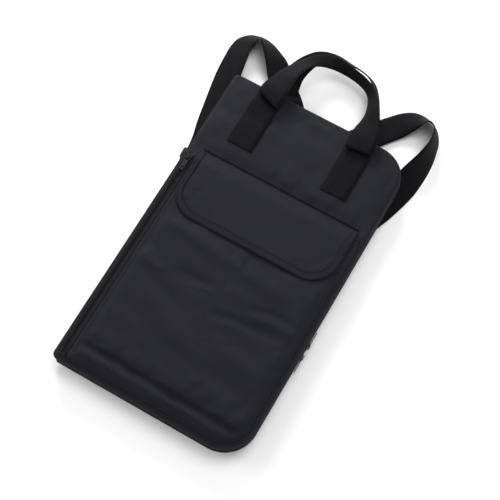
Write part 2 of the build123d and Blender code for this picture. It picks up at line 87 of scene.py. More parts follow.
# %% [markdown]
# ## Camera, light and floor
# A product on a white table, seen from above and a little from the right. Four soft boxes give
# black cloth its shape, because black shows almost nothing but reflections. The strongest is low and
# behind the handles, where it rakes over the folds. A broad one overhead fills them, and two weak
# ones light the sides.

# %% Camera
VIEW_AZIMUTH, VIEW_ELEVATION, VIEW_DISTANCE = radians(30.0), radians(69.04), 1.8
LOOK_AT = Vector((4.0, 26.7, 0.0)) * MM
LENS, SENSOR = 96.6, 36.0


def towards(azimuth, elevation):
    """The direction from the bag to a point seen at this azimuth and elevation."""
    return Vector((sin(azimuth) * cos(elevation), -cos(azimuth) * cos(elevation), sin(elevation)))


def aim(obj, place, target):
    obj.location = place
    obj.rotation_euler = (target - place).to_track_quat("-Z", "Y").to_euler()


camera = bpy.data.objects.new("camera", bpy.data.cameras.new("camera"))
bpy.context.scene.collection.objects.link(camera)
camera.data.lens, camera.data.sensor_width = LENS, SENSOR
aim(camera, LOOK_AT + towards(VIEW_AZIMUTH, VIEW_ELEVATION) * VIEW_DISTANCE, LOOK_AT)
bpy.context.scene.camera = camera
print("camera at", [round(v, 3) for v in camera.location])


# %% Lights and floor
def soft_box(name, azimuth, elevation, distance, size, watts):
    lamp = bpy.data.objects.new(name, bpy.data.lights.new(name, "AREA"))
    lamp.data.shape, lamp.data.size, lamp.data.energy = "DISK", size, watts
    bpy.context.scene.collection.objects.link(lamp)
    aim(lamp, LOOK_AT + towards(radians(azimuth), radians(elevation)) * distance, LOOK_AT)
    return lamp


soft_box("overhead_box", 160, 68, 1.9, 1.3, 17)
soft_box("back_box", 215, 26, 1.8, 0.7, 25)
soft_box("side_box", 75, 30, 2.0, 1.2, 7)
soft_box("spine_box", 285, 22, 1.8, 0.8, 12)
# the plain transform keeps black cloth black and the floor white
bpy.context.scene.view_settings.view_transform = "Standard"
world = bpy.data.worlds.new("studio")
bpy.context.scene.world = world
world.use_nodes = True
world.node_tree.nodes["Background"].inputs["Color"].default_value = (1, 1, 1, 1)
world.node_tree.nodes["Background"].inputs["Strength"].default_value = 0.5


# %% [markdown]
# ## Finishes
# Four effects are shared, so each is one node group: a plain weave, the ribs of webbing, a drifting
# change of tone, and lint. A group gives out colours and heights only. Each material holds its own
# Principled shader and sets the group's sizes for its own cloth.

# %% Node helpers
class Tree:
    """A small writer for shader node trees: it adds a node, then links what it is given."""

    def __init__(self, tree):
        self.tree = tree

    def add(self, kind, links=None, **settings):
        node = self.tree.nodes.new(kind)
        for key, value in settings.items():
            setattr(node, key, value)
        for socket, value in (links or {}).items():
            if isinstance(value, bpy.types.NodeSocket):
                self.tree.links.new(value, node.inputs[socket])
            else:
                node.inputs[socket].default_value = value
        return node

    def maths(self, operation, *values):
        node = self.add("ShaderNodeMath", dict(enumerate(values)), operation=operation)
        return node.outputs[0]

    def mix(self, factor, a, b, blend="MIX"):
        node = self.add("ShaderNodeMix", data_type="RGBA", blend_type=blend)
        for index, value in ((0, factor), (6, a), (7, b)):
            if isinstance(value, bpy.types.NodeSocket):
                self.tree.links.new(value, node.inputs[index])
            else:
                node.inputs[index].default_value = value
        return node.outputs[2]


def effect(name, inputs, outputs):
    """An empty node group with named sockets, as (writer, its inputs, its output node)."""
    group = bpy.data.node_groups.new(name, "ShaderNodeTree")
    for title, kind, value in inputs:
        socket = group.interface.new_socket(title, in_out="INPUT", socket_type=kind)
        socket.default_value = value
    for title, kind in outputs:
        group.interface.new_socket(title, in_out="OUTPUT", socket_type=kind)
    source = group.nodes.new("NodeGroupInput")
    sink = group.nodes.new("NodeGroupOutput")
    return group, Tree(group), source.outputs, sink.inputs


FLOAT, VECTOR = "NodeSocketFloat", "NodeSocketVector"
print("node helpers ready")


# %% [markdown]
# A plain weave is two sets of threads that pass over and under each other. Two sine waves at right
# angles make the threads, and their product says which one is on top. The cloth turns corners, so
# the pattern is laid on whichever plane the surface faces, picked by the object's own normal.

# %% Weave group
weave_group, w, w_in, w_out = effect(
    "plain_weave", [("Place", VECTOR, (0, 0, 0)), ("Facing", VECTOR, (0, 0, 1)),
                    ("Threads", FLOAT, 1600.0)],
    [("Height", FLOAT), ("Thread", FLOAT)])
place = w.add("ShaderNodeSeparateXYZ", {0: w_in["Place"]}).outputs
facing = w.add("ShaderNodeSeparateXYZ", {0: w_in["Facing"]}).outputs
flat = w.maths("GREATER_THAN", w.maths("ABSOLUTE", facing[2]), 0.6)
sideways = w.maths("GREATER_THAN", w.maths("ABSOLUTE", facing[0]), w.maths("ABSOLUTE", facing[1]))
along_wall = w.add("ShaderNodeMix", {0: sideways, 2: place[0], 3: place[1]}).outputs[0]
first = w.add("ShaderNodeMix", {0: flat, 2: along_wall, 3: place[0]}).outputs[0]
second = w.add("ShaderNodeMix", {0: flat, 2: place[2], 3: place[1]}).outputs[0]
turns_a = w.maths("MULTIPLY", first, w_in["Threads"])
turns_b = w.maths("MULTIPLY", second, w_in["Threads"])
wave_a = w.maths("SINE", turns_a)
wave_b = w.maths("SINE", turns_b)
over = w.maths("MULTIPLY", wave_a, wave_b)
round_a = w.maths("ABSOLUTE", w.maths("SINE", w.maths("MULTIPLY", turns_a, 0.5)))
round_b = w.maths("ABSOLUTE", w.maths("SINE", w.maths("MULTIPLY", turns_b, 0.5)))
upper = w.maths("GREATER_THAN", over, 0.0)
crown = w.add("ShaderNodeMix", {0: upper, 2: round_a, 3: round_b}).outputs[0]
w.tree.links.new(crown, w_out["Height"])
w.tree.links.new(upper, w_out["Thread"])


# %% [markdown]
# Webbing is woven much coarser than cloth: ribs run across it, with a herringbone along its length.
# It bends through space, so its pattern follows the strap's own UV map, where u runs along the
# strap and v across it, both in metres.

# %% Webbing group
rib_group, r, r_in, r_out = effect(
    "webbing_ribs", [("UV", VECTOR, (0, 0, 0)), ("Ribs", FLOAT, 2600.0), ("Width", FLOAT, WEB_WIDTH * MM)],
    [("Height", FLOAT), ("Edge", FLOAT)])
uv = r.add("ShaderNodeSeparateXYZ", {0: r_in["UV"]}).outputs
rows = r.maths("MULTIPLY", uv[1], 2400.0)
slant = r.maths("MULTIPLY", r.maths("PINGPONG", uv[1], 0.0035), 2600.0)
ribs = r.maths("SINE", r.maths("ADD", r.maths("MULTIPLY", uv[0], r_in["Ribs"]), slant))
cords = r.maths("ABSOLUTE", r.maths("SINE", rows))
height = r.maths("ADD", r.maths("MULTIPLY", ribs, 0.5), r.maths("MULTIPLY", cords, 0.5))
middle = r.maths("ABSOLUTE", r.maths("SUBTRACT", r.maths("DIVIDE", uv[1], r_in["Width"]), 0.5))
edge = r.add("ShaderNodeMapRange", {0: middle, 1: 0.44, 2: 0.5, 3: 0.0, 4: 1.0}).outputs[0]
r.tree.links.new(height, r_out["Height"])
r.tree.links.new(edge, r_out["Edge"])


# %% Tone and lint groups
tone_group, t, t_in, t_out = effect(
    "dye_tone", [("Place", VECTOR, (0, 0, 0)), ("Size", FLOAT, 18.0)], [("Tone", FLOAT), ("Fine", FLOAT)])
broad = t.add("ShaderNodeTexNoise",
              {"Vector": t_in["Place"], "Scale": t_in["Size"], "Detail": 3.0}).outputs[0]
fine = t.add("ShaderNodeTexNoise", {"Vector": t_in["Place"], "Scale": 900.0, "Detail": 1.0}).outputs[0]
t.tree.links.new(broad, t_out["Tone"])
t.tree.links.new(fine, t_out["Fine"])

lint_group, n, n_in, n_out = effect(
    "lint", [("Place", VECTOR, (0, 0, 0)), ("Amount", FLOAT, 0.5)], [("Mask", FLOAT)])
specks = n.add("ShaderNodeTexVoronoi", {"Vector": n_in["Place"], "Scale": 260.0}).outputs["Distance"]
thin = n.add("ShaderNodeMapRange", {0: specks, 1: 0.05, 2: 0.0, 3: 0.0, 4: 1.0}).outputs[0]
patch = n.add("ShaderNodeTexNoise", {"Vector": n_in["Place"], "Scale": 60.0}).outputs[0]
some = n.maths("GREATER_THAN", patch, 0.56)
mask = n.maths("MULTIPLY", n.maths("MULTIPLY", thin, some), n_in["Amount"])
n.tree.links.new(mask, n_out["Mask"])
print("effects:", [g.name for g in bpy.data.node_groups])


# %% [markdown]
# Cloth is a rough surface with a faint sheen at grazing angles from loose fibres. The weave goes to
# a Bump node, whose distance is a real thread's height, and the threads that lie across catch a
# little more light, so they also change the colour.

# %% Cloth and webbing materials
def start_material(name):
    material = bpy.data.materials.new(name)
    material.use_nodes = True
    tree = Tree(material.node_tree)
    return material, tree, material.node_tree.nodes["Principled BSDF"]


def shade(colour, share):
    return tuple(c * share for c in colour[:3]) + (1.0,)


def cloth(name, colour, threads, relief, sheen, rough=0.66, lint=0.16, tone=0.2):
    """A woven cloth: threads is how many radians of weave there are in a metre."""
    material, m, shader = start_material(name)
    where = m.add("ShaderNodeTexCoord").outputs
    weave = m.add("ShaderNodeGroup", node_tree=weave_group)
    m.tree.links.new(where["Object"], weave.inputs["Place"])
    m.tree.links.new(where["Normal"], weave.inputs["Facing"])
    weave.inputs["Threads"].default_value = threads
    dye = m.add("ShaderNodeGroup", {"Place": where["Object"]}, node_tree=tone_group)
    fluff = m.add("ShaderNodeGroup", {"Place": where["Object"], "Amount": lint}, node_tree=lint_group)
    drift = m.maths("MULTIPLY_ADD", dye.outputs["Tone"], tone, 1.0 - tone / 2)
    grain = m.maths("MULTIPLY_ADD", dye.outputs["Fine"], 0.24, 0.88)
    thread = m.maths("MULTIPLY_ADD", weave.outputs["Thread"], 0.10, 0.95)
    light = m.maths("MULTIPLY", m.maths("MULTIPLY", drift, grain), thread)
    body = m.mix(1.0, shade(colour, 1.0),
                 m.add("ShaderNodeCombineColor", {0: light, 1: light, 2: light}).outputs[0],
                 "MULTIPLY")
    tinted = m.mix(fluff.outputs["Mask"], body, (0.16, 0.16, 0.17, 1.0))
    m.tree.links.new(tinted, shader.inputs["Base Color"])
    rub = m.maths("MULTIPLY_ADD", dye.outputs["Tone"], 0.12, rough - 0.06)
    m.tree.links.new(rub, shader.inputs["Roughness"])
    bump = m.add("ShaderNodeBump",
                 {"Height": weave.outputs["Height"], "Distance": relief * MM, "Strength": 0.55})
    m.tree.links.new(bump.outputs[0], shader.inputs["Normal"])
    shader.inputs["Sheen Weight"].default_value = sheen
    shader.inputs["Sheen Roughness"].default_value = 0.45
    shader.inputs["Specular IOR Level"].default_value = 0.13
    return material


def webbing(name, colour, ribs, relief, sheen=0.008):
    material, m, shader = start_material(name)
    where = m.add("ShaderNodeTexCoord").outputs
    rib = m.add("ShaderNodeGroup", {"UV": where["UV"], "Ribs": ribs}, node_tree=rib_group)
    dye = m.add("ShaderNodeGroup", {"Place": where["Object"]}, node_tree=tone_group)
    fluff = m.add("ShaderNodeGroup", {"Place": where["Object"], "Amount": 0.4}, node_tree=lint_group)
    valley = m.maths("MULTIPLY_ADD", rib.outputs["Height"], 0.35, 0.8)
    light = m.maths("MULTIPLY", valley, m.maths("MULTIPLY_ADD", dye.outputs["Fine"], 0.3, 0.85))
    body = m.mix(1.0, shade(colour, 1.0),
                 m.add("ShaderNodeCombineColor", {0: light, 1: light, 2: light}).outputs[0],
                 "MULTIPLY")
    selvedge = m.mix(m.maths("MULTIPLY", rib.outputs["Edge"], 0.5), body, shade(colour, 1.9))
    tinted = m.mix(fluff.outputs["Mask"], selvedge, (0.14, 0.14, 0.15, 1.0))
    m.tree.links.new(tinted, shader.inputs["Base Color"])
    m.tree.links.new(m.maths("MULTIPLY_ADD", rib.outputs["Height"], -0.15, 0.68),
                     shader.inputs["Roughness"])
    bump = m.add("ShaderNodeBump",
                 {"Height": rib.outputs["Height"], "Distance": relief * MM, "Strength": 0.8})
    m.tree.links.new(bump.outputs[0], shader.inputs["Normal"])
    shader.inputs["Sheen Weight"].default_value = sheen
    shader.inputs["Sheen Roughness"].default_value = 0.4
    shader.inputs["Specular IOR Level"].default_value = 0.06
    return material


CHARCOAL = (0.0080, 0.0084, 0.0122)
NEAR_BLACK = (0.0095, 0.0098, 0.0115)
shell_cloth = cloth("shell_cloth", CHARCOAL, 9000.0, 0.16, 0.012)
binding_cloth = cloth("binding_cloth", shade(CHARCOAL, 0.85), 9000.0, 0.14, 0.01)
lining_cloth = cloth("lining_cloth", (0.032, 0.033, 0.038), 14000.0, 0.06, 0.05, rough=0.55)
zip_cloth = cloth("zip_cloth", NEAR_BLACK, 5200.0, 0.16, 0.06)
loop_pile = cloth("loop_pile", (0.012, 0.012, 0.014), 3000.0, 0.5, 0.5, rough=0.95, lint=1.0)
hook_pile = cloth("hook_pile", (0.010, 0.010, 0.011), 4200.0, 0.5, 0.1, rough=0.5)
strap_webbing = webbing("strap_webbing", (0.0046, 0.0040, 0.0056), 3300.0, 0.22, sheen=0.004)
thread = cloth("thread", (0.0075, 0.0070, 0.0085), 6000.0, 0.05, 0.0, rough=0.85, lint=0.0)
# painted shadow: the near-black colour of the strip along the flap's seam
seam_shadow = cloth("seam_shadow", (0.0034, 0.0034, 0.0044), 9000.0, 0.05, 0.0, rough=0.95, lint=0.0)
print("cloths made")


# %% [markdown]
# The hard bits are few: dark metal sliders and pull tabs, a painted side slider, nylon teeth and
# moulded plastic. Plain metal looks computed, so its roughness drifts and fine scratches cross it.

# %% Metal and plastic
def hard_finish(name, colour, metal, rough, scratch, coat=0.0):
    material, m, shader = start_material(name)
    where = m.add("ShaderNodeTexCoord").outputs
    dye = m.add("ShaderNodeGroup", {"Place": where["Object"], "Size": 160.0}, node_tree=tone_group)
    light = m.maths("MULTIPLY_ADD", dye.outputs["Tone"], 0.3, 0.85)
    body = m.mix(1.0, colour + (1.0,),
                 m.add("ShaderNodeCombineColor", {0: light, 1: light, 2: light}).outputs[0],
                 "MULTIPLY")
    m.tree.links.new(body, shader.inputs["Base Color"])
    m.tree.links.new(m.maths("MULTIPLY_ADD", dye.outputs["Fine"], scratch, rough - scratch / 2),
                     shader.inputs["Roughness"])
    bump = m.add("ShaderNodeBump", {"Height": dye.outputs["Fine"], "Distance": 0.02 * MM, "Strength": 0.3})
    m.tree.links.new(bump.outputs[0], shader.inputs["Normal"])
    shader.inputs["Metallic"].default_value = metal
    shader.inputs["Coat Weight"].default_value = coat
    shader.inputs["Specular IOR Level"].default_value = 0.25
    return material


dark_metal = hard_finish("dark_metal", (0.020, 0.020, 0.022), 0.5, 0.45, 0.2)
nylon = hard_finish("nylon", (0.008, 0.008, 0.010), 0.0, 0.5, 0.14)
moulded_black = hard_finish("moulded_black", (0.014, 0.014, 0.016), 0.0, 0.38, 0.12, coat=0.1)
painted_black = hard_finish("painted_black", (0.006, 0.006, 0.007), 0.0, 0.62, 0.1)

floor_white, f, floor_shader = start_material("floor_white")
spot = f.add("ShaderNodeTexCoord").outputs["Object"]
cloudy = f.add("ShaderNodeTexNoise", {"Vector": spot, "Scale": 2.0}).outputs[0]
f.tree.links.new(f.mix(cloudy, (0.93, 0.93, 0.93, 1.0), (0.95, 0.95, 0.95, 1.0)),
                 floor_shader.inputs["Base Color"])
floor_shader.inputs["Roughness"].default_value = 0.7
print("materials:", len(bpy.data.materials))


# %% [markdown]
# ## Making shapes
# Padded cloth panels are rings of points that step in from the bag's outline, like contour lines.
# A row says how far in it lies and how high, so one list of rows is a whole shell: wall, rolled edge
# and face. Straps are ribbons, built from stations that say where the middle is, which way the
# width points, and how wide it is there.

# %% Mesh helpers
def new_piece(name, points, faces, material, uvs=None):
    """A smooth mesh object from points in millimetres. uvs has one (u, v) for each point."""
    mesh = bpy.data.meshes.new(name)
    mesh.from_pydata([(x * MM, y * MM, z * MM) for x, y, z in points], [], faces)
    if uvs:
        layer = mesh.uv_layers.new(name="weave")
        for loop in mesh.loops:
            layer.data[loop.index].uv = uvs[loop.vertex_index]
    mesh.materials.append(material)
    mesh.polygons.foreach_set("use_smooth", [True] * len(mesh.polygons))
    obj = bpy.data.objects.new(name, mesh)
    bpy.context.scene.collection.objects.link(obj)
    return obj


def face_outwards(obj):
    work = bmesh.new()
    work.from_mesh(obj.data)
    bmesh.ops.remove_doubles(work, verts=work.verts, dist=0.02 * MM)
    bmesh.ops.recalc_face_normals(work, faces=work.faces)
    work.to_mesh(obj.data)
    work.free()
    return obj


def made_plain(obj):
    """Swaps the object's mesh for its evaluated one, and drops its modifiers."""
    bpy.context.view_layer.update()
    evaluated = obj.evaluated_get(bpy.context.evaluated_depsgraph_get())
    mesh = bpy.data.meshes.new_from_object(evaluated)
    obj.modifiers.clear()
    obj.data = mesh
    return obj


def thickened(obj, thickness, offset=-1.0):
    """Gives a one-sided sheet its thickness in millimetres, downwards from the face by default."""
    wall = obj.modifiers.new("thickness", "SOLIDIFY")
    wall.thickness, wall.offset, wall.use_even_offset = thickness * MM, offset, False
    return made_plain(obj)


def finish_piece(obj, body, slot, *nodes):
    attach(obj, body)
    if nodes:
        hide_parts(*nodes)
    print(f"{obj.name}: {len(obj.data.polygons)} faces on {body}")
    return obj


# %% Rings and heights
def rounded_ring(box, radii, inset, sides=(44, 76), turn=12):
    """Points round a rectangle drawn in by inset.
    box is (x0, x1, y0, y1), and radii go round from low x, low y."""
    x0, x1, y0, y1 = box[0] + inset, box[1] - inset, box[2] + inset, box[3] - inset
    limit = max(0.0, min(x1 - x0, y1 - y0) / 2 - 0.01)
    r0, r1, r2, r3 = [min(limit, max(0.6, radius - inset)) for radius in radii]
    corners = [(x0 + r0, y0 + r0, r0, 180), (x1 - r1, y0 + r1, r1, 270), (x1 - r2, y1 - r2, r2, 0),
               (x0 + r3, y1 - r3, r3, 90)]
    points = []
    for n, (cx, cy, radius, start) in enumerate(corners):
        for k in range(turn + 1):
            a = radians(start + 90 * k / turn)
            points.append((cx + radius * cos(a), cy + radius * sin(a)))
        nx, ny, nradius, nstart = corners[(n + 1) % 4]
        a, (px, py) = radians(nstart), points[-1]
        qx, qy = nx + nradius * cos(a), ny + nradius * sin(a)
        steps = sides[n % 2]
        for k in range(1, steps):
            points.append((px + (qx - px) * k / steps, py + (qy - py) * k / steps))
    return points


def ladder(value, steps):
    """Straight-line reading of a list of (place, height) steps."""
    if value <= steps[0][0]:
        return steps[0][1]
    for (a, low), (b, high) in zip(steps, steps[1:]):
        if value <= b:
            return low + (high - low) * (value - a) / (b - a)
    return steps[-1][1]


def ease(value, low, high):
    """0 below low, 1 above high, and a soft step between."""
    t = min(1.0, max(0.0, (value - low) / (high - low)))
    return t * t * (3 - 2 * t)


def drift(x, y, size, layer):
    """Slow waves in cloth, from -1 to 1."""
    return noise.noise(Vector((x / size, y / size, layer)))


def inset_of(x, y, box, radii):
    """How far inside a rounded rectangle a point lies."""
    cx, cy = (box[0] + box[1]) / 2, (box[2] + box[3]) / 2
    radius = radii[(1 if x > cx else 0) if y < cy else (2 if x > cx else 3)]
    dx = abs(x - cx) - (box[1] - box[0]) / 2 + radius
    dy = abs(y - cy) - (box[3] - box[2]) / 2 + radius
    return radius - min(max(dx, dy), 0.0) - hypot(max(dx, 0.0), max(dy, 0.0))


def shell_of_rings(name, box, radii, rows, material, close_first=True, close_last=True):
    """A skin through rows of (inset, height): height is a number or a function of x and y."""
    points, faces, size = [], [], 0
    for inset, height in rows:
        ring = rounded_ring(box, radii, inset)
        size = len(ring)
        points += [(x, y, height(x, y) if callable(height) else height) for x, y in ring]
    for row in range(len(rows) - 1):
        for k in range(size):
            a, b = row * size + k, row * size + (k + 1) % size
            faces.append((a, b, b + size, a + size))
    if close_first:
        faces.append(tuple(range(size))[::-1])
    if close_last:
        faces.append(tuple(range(len(points) - size, len(points))))
    return face_outwards(new_piece(name, points, faces, material))


BAG = (-HALF_W, HALF_W, -HALF_H, HALF_H)
BAG_RADII = (SPINE_CORNER, ZIP_CORNER, ZIP_CORNER, SPINE_CORNER)
FACE_STEPS = [4 * n for n in range(3, 33)]
print("points in a ring:", len(rounded_ring(BAG, BAG_RADII, 0)))


# %% [markdown]
# Cloth simulation gives the puckers that no formula has. The solver likes even squares, so it runs on
# a plain grid as large as the panel. Points at sewn edges are held. Pressure swells the cloth, and
# negative shrinkage makes it a little too large for its frame, so it has to fold. The panel then
# takes its rise and fall from the grid, capped so that a fold never leaves its room.

# %% Cloth helper
CLOTH_FRAMES = 20
GRID_STEP = 4.5


def puckers(name, box, held, pressure=0.0, slack=0.0, cap=2.0, stiffness=8.0, bending=0.4):
    """Settles a sheet that fills box (x0, x1, y0, y1), and gives its rise as a function of x and y.
    held says which points, in millimetres, are sewn down."""
    nx, ny = round((box[1] - box[0]) / GRID_STEP), round((box[3] - box[2]) / GRID_STEP)
    spots = [(box[0] + (box[1] - box[0]) * i / nx, box[2] + (box[3] - box[2]) * j / ny)
             for j in range(ny + 1) for i in range(nx + 1)]
    faces = [(a, a + 1, a + nx + 2, a + nx + 1) for j in range(ny) for a in range(j * (nx + 1),
            j * (nx + 1) + nx)]
    start = [0.25 * drift(x, y, 21, 3.3) for x, y in spots]
    grid = new_piece(name, [(x, y, z) for (x, y), z in zip(spots, start)], faces, shell_cloth)
    pins = grid.vertex_groups.new(name="held")
    pins.add([n for n, (x, y) in enumerate(spots) if held(x, y)], 1.0, "REPLACE")
    cloth_modifier = grid.modifiers.new("cloth", "CLOTH")
    s = cloth_modifier.settings
    s.quality, s.mass, s.air_damping = 5, 0.2, 2.0
    s.tension_stiffness = s.compression_stiffness = stiffness
    s.shear_stiffness, s.bending_stiffness = stiffness / 2, bending
    s.vertex_group_mass = "held"
    s.use_pressure, s.uniform_pressure_force = pressure > 0, pressure
    s.effector_weights.gravity = 0.0
    s.shrink_min = -slack
    cloth_modifier.point_cache.frame_start, cloth_modifier.point_cache.frame_end = 1, CLOTH_FRAMES
    for number in range(1, CLOTH_FRAMES + 1):
        bpy.context.scene.frame_set(number)
    evaluated = grid.evaluated_get(bpy.context.evaluated_depsgraph_get())
    rise = [v.co.z / MM for v in evaluated.data.vertices]
    bpy.context.scene.frame_set(1)
    bpy.data.objects.remove(grid)
    middle = sorted(rise)[len(rise) // 2]
    print(f"{name}: rises from {min(rise):.1f} to {max(rise):.1f} mm, kept to {cap} mm")

    def pucker(x, y):
        u = min(nx - 1e-6, max(0.0, (x - box[0]) / (box[1] - box[0]) * nx))
        v = min(ny - 1e-6, max(0.0, (y - box[2]) / (box[3] - box[2]) * ny))
        i, j = int(u), int(v)
        u, v, at = u - i, v - j, j * (nx + 1) + i
        low = rise[at] * (1 - u) + rise[at + 1] * u
        high = rise[at + nx + 1] * (1 - u) + rise[at + nx + 2] * u
        value = (low * (1 - v) + high * v) - middle * 0.5
        return max(-cap, min(cap, value))

    return pucker


class Surface:
    """The top of a finished piece, for laying others on it."""

    def __init__(self, obj):
        mesh = obj.data
        self.tree = BVHTree.FromPolygons([v.co for v in mesh.vertices], [p.vertices for p in mesh.polygons])

    def height(self, x, y, otherwise=0.0):
        hit = self.tree.ray_cast(Vector((x, y, 200)) * MM, Vector((0, 0, -1)))[0]
        return hit.z / MM if hit else otherwise


# %% [markdown]
# ## The two padded halves
# Each half is a tray of cloth over foam. The back panel lies flat on its middle and lifts along its
# two long edges, where the shoulder straps pass under it. Two shallow hollows take the feet of the
# rear handle. The front half is the same tray turned over, with a rolled edge and a crowned face.

# %% Rear half
RAMP = (78.0, 92.0)
EDGE_LIFT = 7.2
LEG_HALF = WEB_WIDTH / 2
REAR_LEG_X = [sum(reach(f"rear_handle_{side}_leg")[0]) / 2 for side in ("left", "right")]
REAR_LEG_Y = reach("rear_handle_left_leg")[1]
LINING_LEVEL = reach("rear_lining")[2][0]


def back_height(x, y):
    """The outer face of the back panel."""
    lift = EDGE_LIFT * ease(abs(x), *RAMP)
    hollow = max(ease(LEG_HALF + 9 - abs(x - cx), 0, 8) for cx in REAR_LEG_X) * ease(y, REAR_LEG_Y[0] - 10,
            REAR_LEG_Y[0])
    return max(lift, 2.3 * hollow) + 0.25 + 0.2 * drift(x, y, 60, 3.1)


def rear_wall(z):
    """A row of the wall: beside the spine it drops to where the spine's cloth begins."""
    return lambda x, y: min(z, 12.5 - 5.2 * ease(-x, HALF_W - 12, HALF_W - 3))


rolled = [(9.0, 0.4), (5.0, 0.9), (2.4, 1.7), (0.9, 3.0)]
rows = [(inset, back_height) for inset in FACE_STEPS[::-1]]
rows += [(inset, lambda x, y, up=up: min(back_height(x, y) + up, 8.9)) for inset, up in rolled]
rows += [(-0.2, rear_wall(9.4)), (-0.5, rear_wall(10.4)), (0.0, rear_wall(11.8)), (0.7, rear_wall(12.4)),
         (1.4, rear_wall(12.2)), (1.6, rear_wall(LINING_LEVEL + 0.1)), (3.0, LINING_LEVEL - 0.2)]
rows += [(inset, LINING_LEVEL - 0.2) for inset in FACE_STEPS[::3]]
rear_pad = shell_of_rings("rear_half", BAG, BAG_RADII, rows, shell_cloth)
finish_piece(rear_pad, "rear_shell", "shell_fabric", "rear_cover", "rear_foam")


# %% Front half
FRONT_TOP = FRONT_Z[1]
CROWN = [(0.0, -4.2), (0.9, -2.3), (2.4, -0.7), (5.0, 0.7), (9.0, 1.8), (15.0, 2.5), (26.0, 2.9),
         (60.0, 3.1), (140.0, 3.1)]


front_pucker = puckers("front_panel_cloth", (-HALF_W, HALF_W, SEAM_Y, HALF_H),
                       lambda x, y: inset_of(x, y, BAG, BAG_RADII) < 6 or y < SEAM_Y + 3,
                       pressure=1.2, slack=0.014, cap=1.3)


def dent(x, y):
    """Soft hollows of the top panel beside the handle's left leg and between the legs."""
    return (2.718 ** (-((y - 182 - 0.28 * (x + 85)) / 9) ** 2) * (1 - ease(abs(x + 85), 22, 44))
            + 2.718 ** (-((y - 206 + 0.1 * x) / 11) ** 2) * (1 - ease(abs(x + 4), 24, 52)))


def front_height(x, y):
    """The front panel's outer face: rolled at the edge and drawn down at the flap's seam."""
    pucker = front_pucker(x, y) * ease(y, SEAM_Y, SEAM_Y + 8)
    inset = inset_of(x, y, BAG, BAG_RADII)
    seam = 2.4 * (1 - ease(abs(y - SEAM_Y - 1), 1.0, 12.0)) * ease(inset, 4, 14)
    bare = ease(y, SEAM_Y + 6, SEAM_Y + 26)
    slack = (1.5 * drift(x, y, 43, 2.9) + 0.8 * drift(x, y, 19, 5.1)) * bare - 1.8 * dent(x, y) * bare
    lumpy = 1.3 * drift(x, y, 24, 1.7) * bare * (1 - ease(inset, 6, 18)) * ease(inset, -1, 3)
    return (FRONT_TOP + ladder(inset, CROWN) - seam + lumpy
            + (0.55 * drift(x, y, 55, 7.7) + slack + pucker) * ease(inset, 3, 16))


def front_wall(z):
    return lambda x, y: max(z, 21.5 + 8.6 * ease(-x, HALF_W - 12, HALF_W - 3))


LINING_CEILING = reach("front_lining")[2][1]
rows = [(inset, LINING_CEILING + 0.3) for inset in FACE_STEPS[::-3]]
rows += [(3.0, LINING_CEILING + 0.2), (1.7, front_wall(25.4)), (1.5, front_wall(21.9)),
         (0.8, front_wall(21.5)),
         (0.1, front_wall(22.0)), (-0.5, front_wall(23.6)), (-0.8, front_wall(25.6)),
         (-0.5, front_wall(27.6))]
rows += [(inset, front_height) for inset in (0.0, 0.9, 2.4, 5.0, 8.5)] + [(inset,
        front_height) for inset in FACE_STEPS]
front_pad = shell_of_rings("front_half", BAG, BAG_RADII, rows, shell_cloth)
front_skin = Surface(front_pad)
finish_piece(front_pad, "front_shell", "shell_fabric", "front_cover", "front_foam")


# %% [markdown]
# ## The spine
# The spine is cloth that bends at both of its edges. It is made in two strips that meet halfway up.

# %% Spine
SPINE_LOW, SPINE_HIGH = reach("spine_panel")[2]
SPINE_MID = (SPINE_LOW + SPINE_HIGH) / 2
SPINE_Y = reach("spine_panel")[1]
SPINE_ROWS = 60


def spine_strip(name, z_from, z_to, tuck):
    """A strip of cloth up the spine from z_from to z_to. tuck is how far the first row turns inwards."""
    points, faces, across = [], [], 9
    for row in range(SPINE_ROWS + 1):
        y = SPINE_Y[0] - 3 + (SPINE_Y[1] - SPINE_Y[0] + 6) * row / SPINE_ROWS
        near_end = 1 - ease(HALF_H - abs(y), 3, 16)
        for k in range(across):
            t = k / (across - 1)
            z = z_from + (z_to - z_from) * t
            belly = 2.0 * sin(pi * min(1.0, max(0.0, (z - 4) / 30))) + 0.5 * drift(y, z, 26, 2.2)
            x = -HALF_W + 0.2 - belly * (1 - near_end) + 5.5 * near_end * near_end + tuck * (1 - t) ** 3
            points.append((x, y, z))
    for row in range(SPINE_ROWS):
        for k in range(across - 1):
            a = row * across + k
            faces.append((a, a + 1, a + across + 1, a + across))
    strip = face_outwards(new_piece(name, points, faces, shell_cloth))
    return thickened(strip, 1.0, 0.0)


spine_lower = spine_strip("spine_lower", 6.0, SPINE_MID + 0.15, 2.6)
spine_upper = spine_strip("spine_upper", 31.2, SPINE_MID - 0.15, 2.6)
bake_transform(spine_lower)
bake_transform(spine_upper)
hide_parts("spine_panel", "spine_lining")
print("spine strips from", round(SPINE_LOW, 1), "to", round(SPINE_HIGH, 1))


# %% [markdown]
# ## The front pocket
# The pocket is one slack layer of cloth with a folded wall along its sides and bottom. Its face is
# cut a little larger than the frame that it is sewn to, so it folds on the slant below the flap, and
# a deep crease runs across near the bottom, where the wall turns under. Those folds are listed as
# soft ridges, and the cloth solver then adds the small puckers between them.

# %% Pocket heights
POCKET = (POCKET_X[0], POCKET_X[1], POCKET_Y[0], POCKET_Y[1])
POCKET_RADII = (3.0, 38.0, 1.0, 1.0)
FACE_LEVEL = POCKET_Z[1]
MOUTH_Y = POCKET_Y[1]
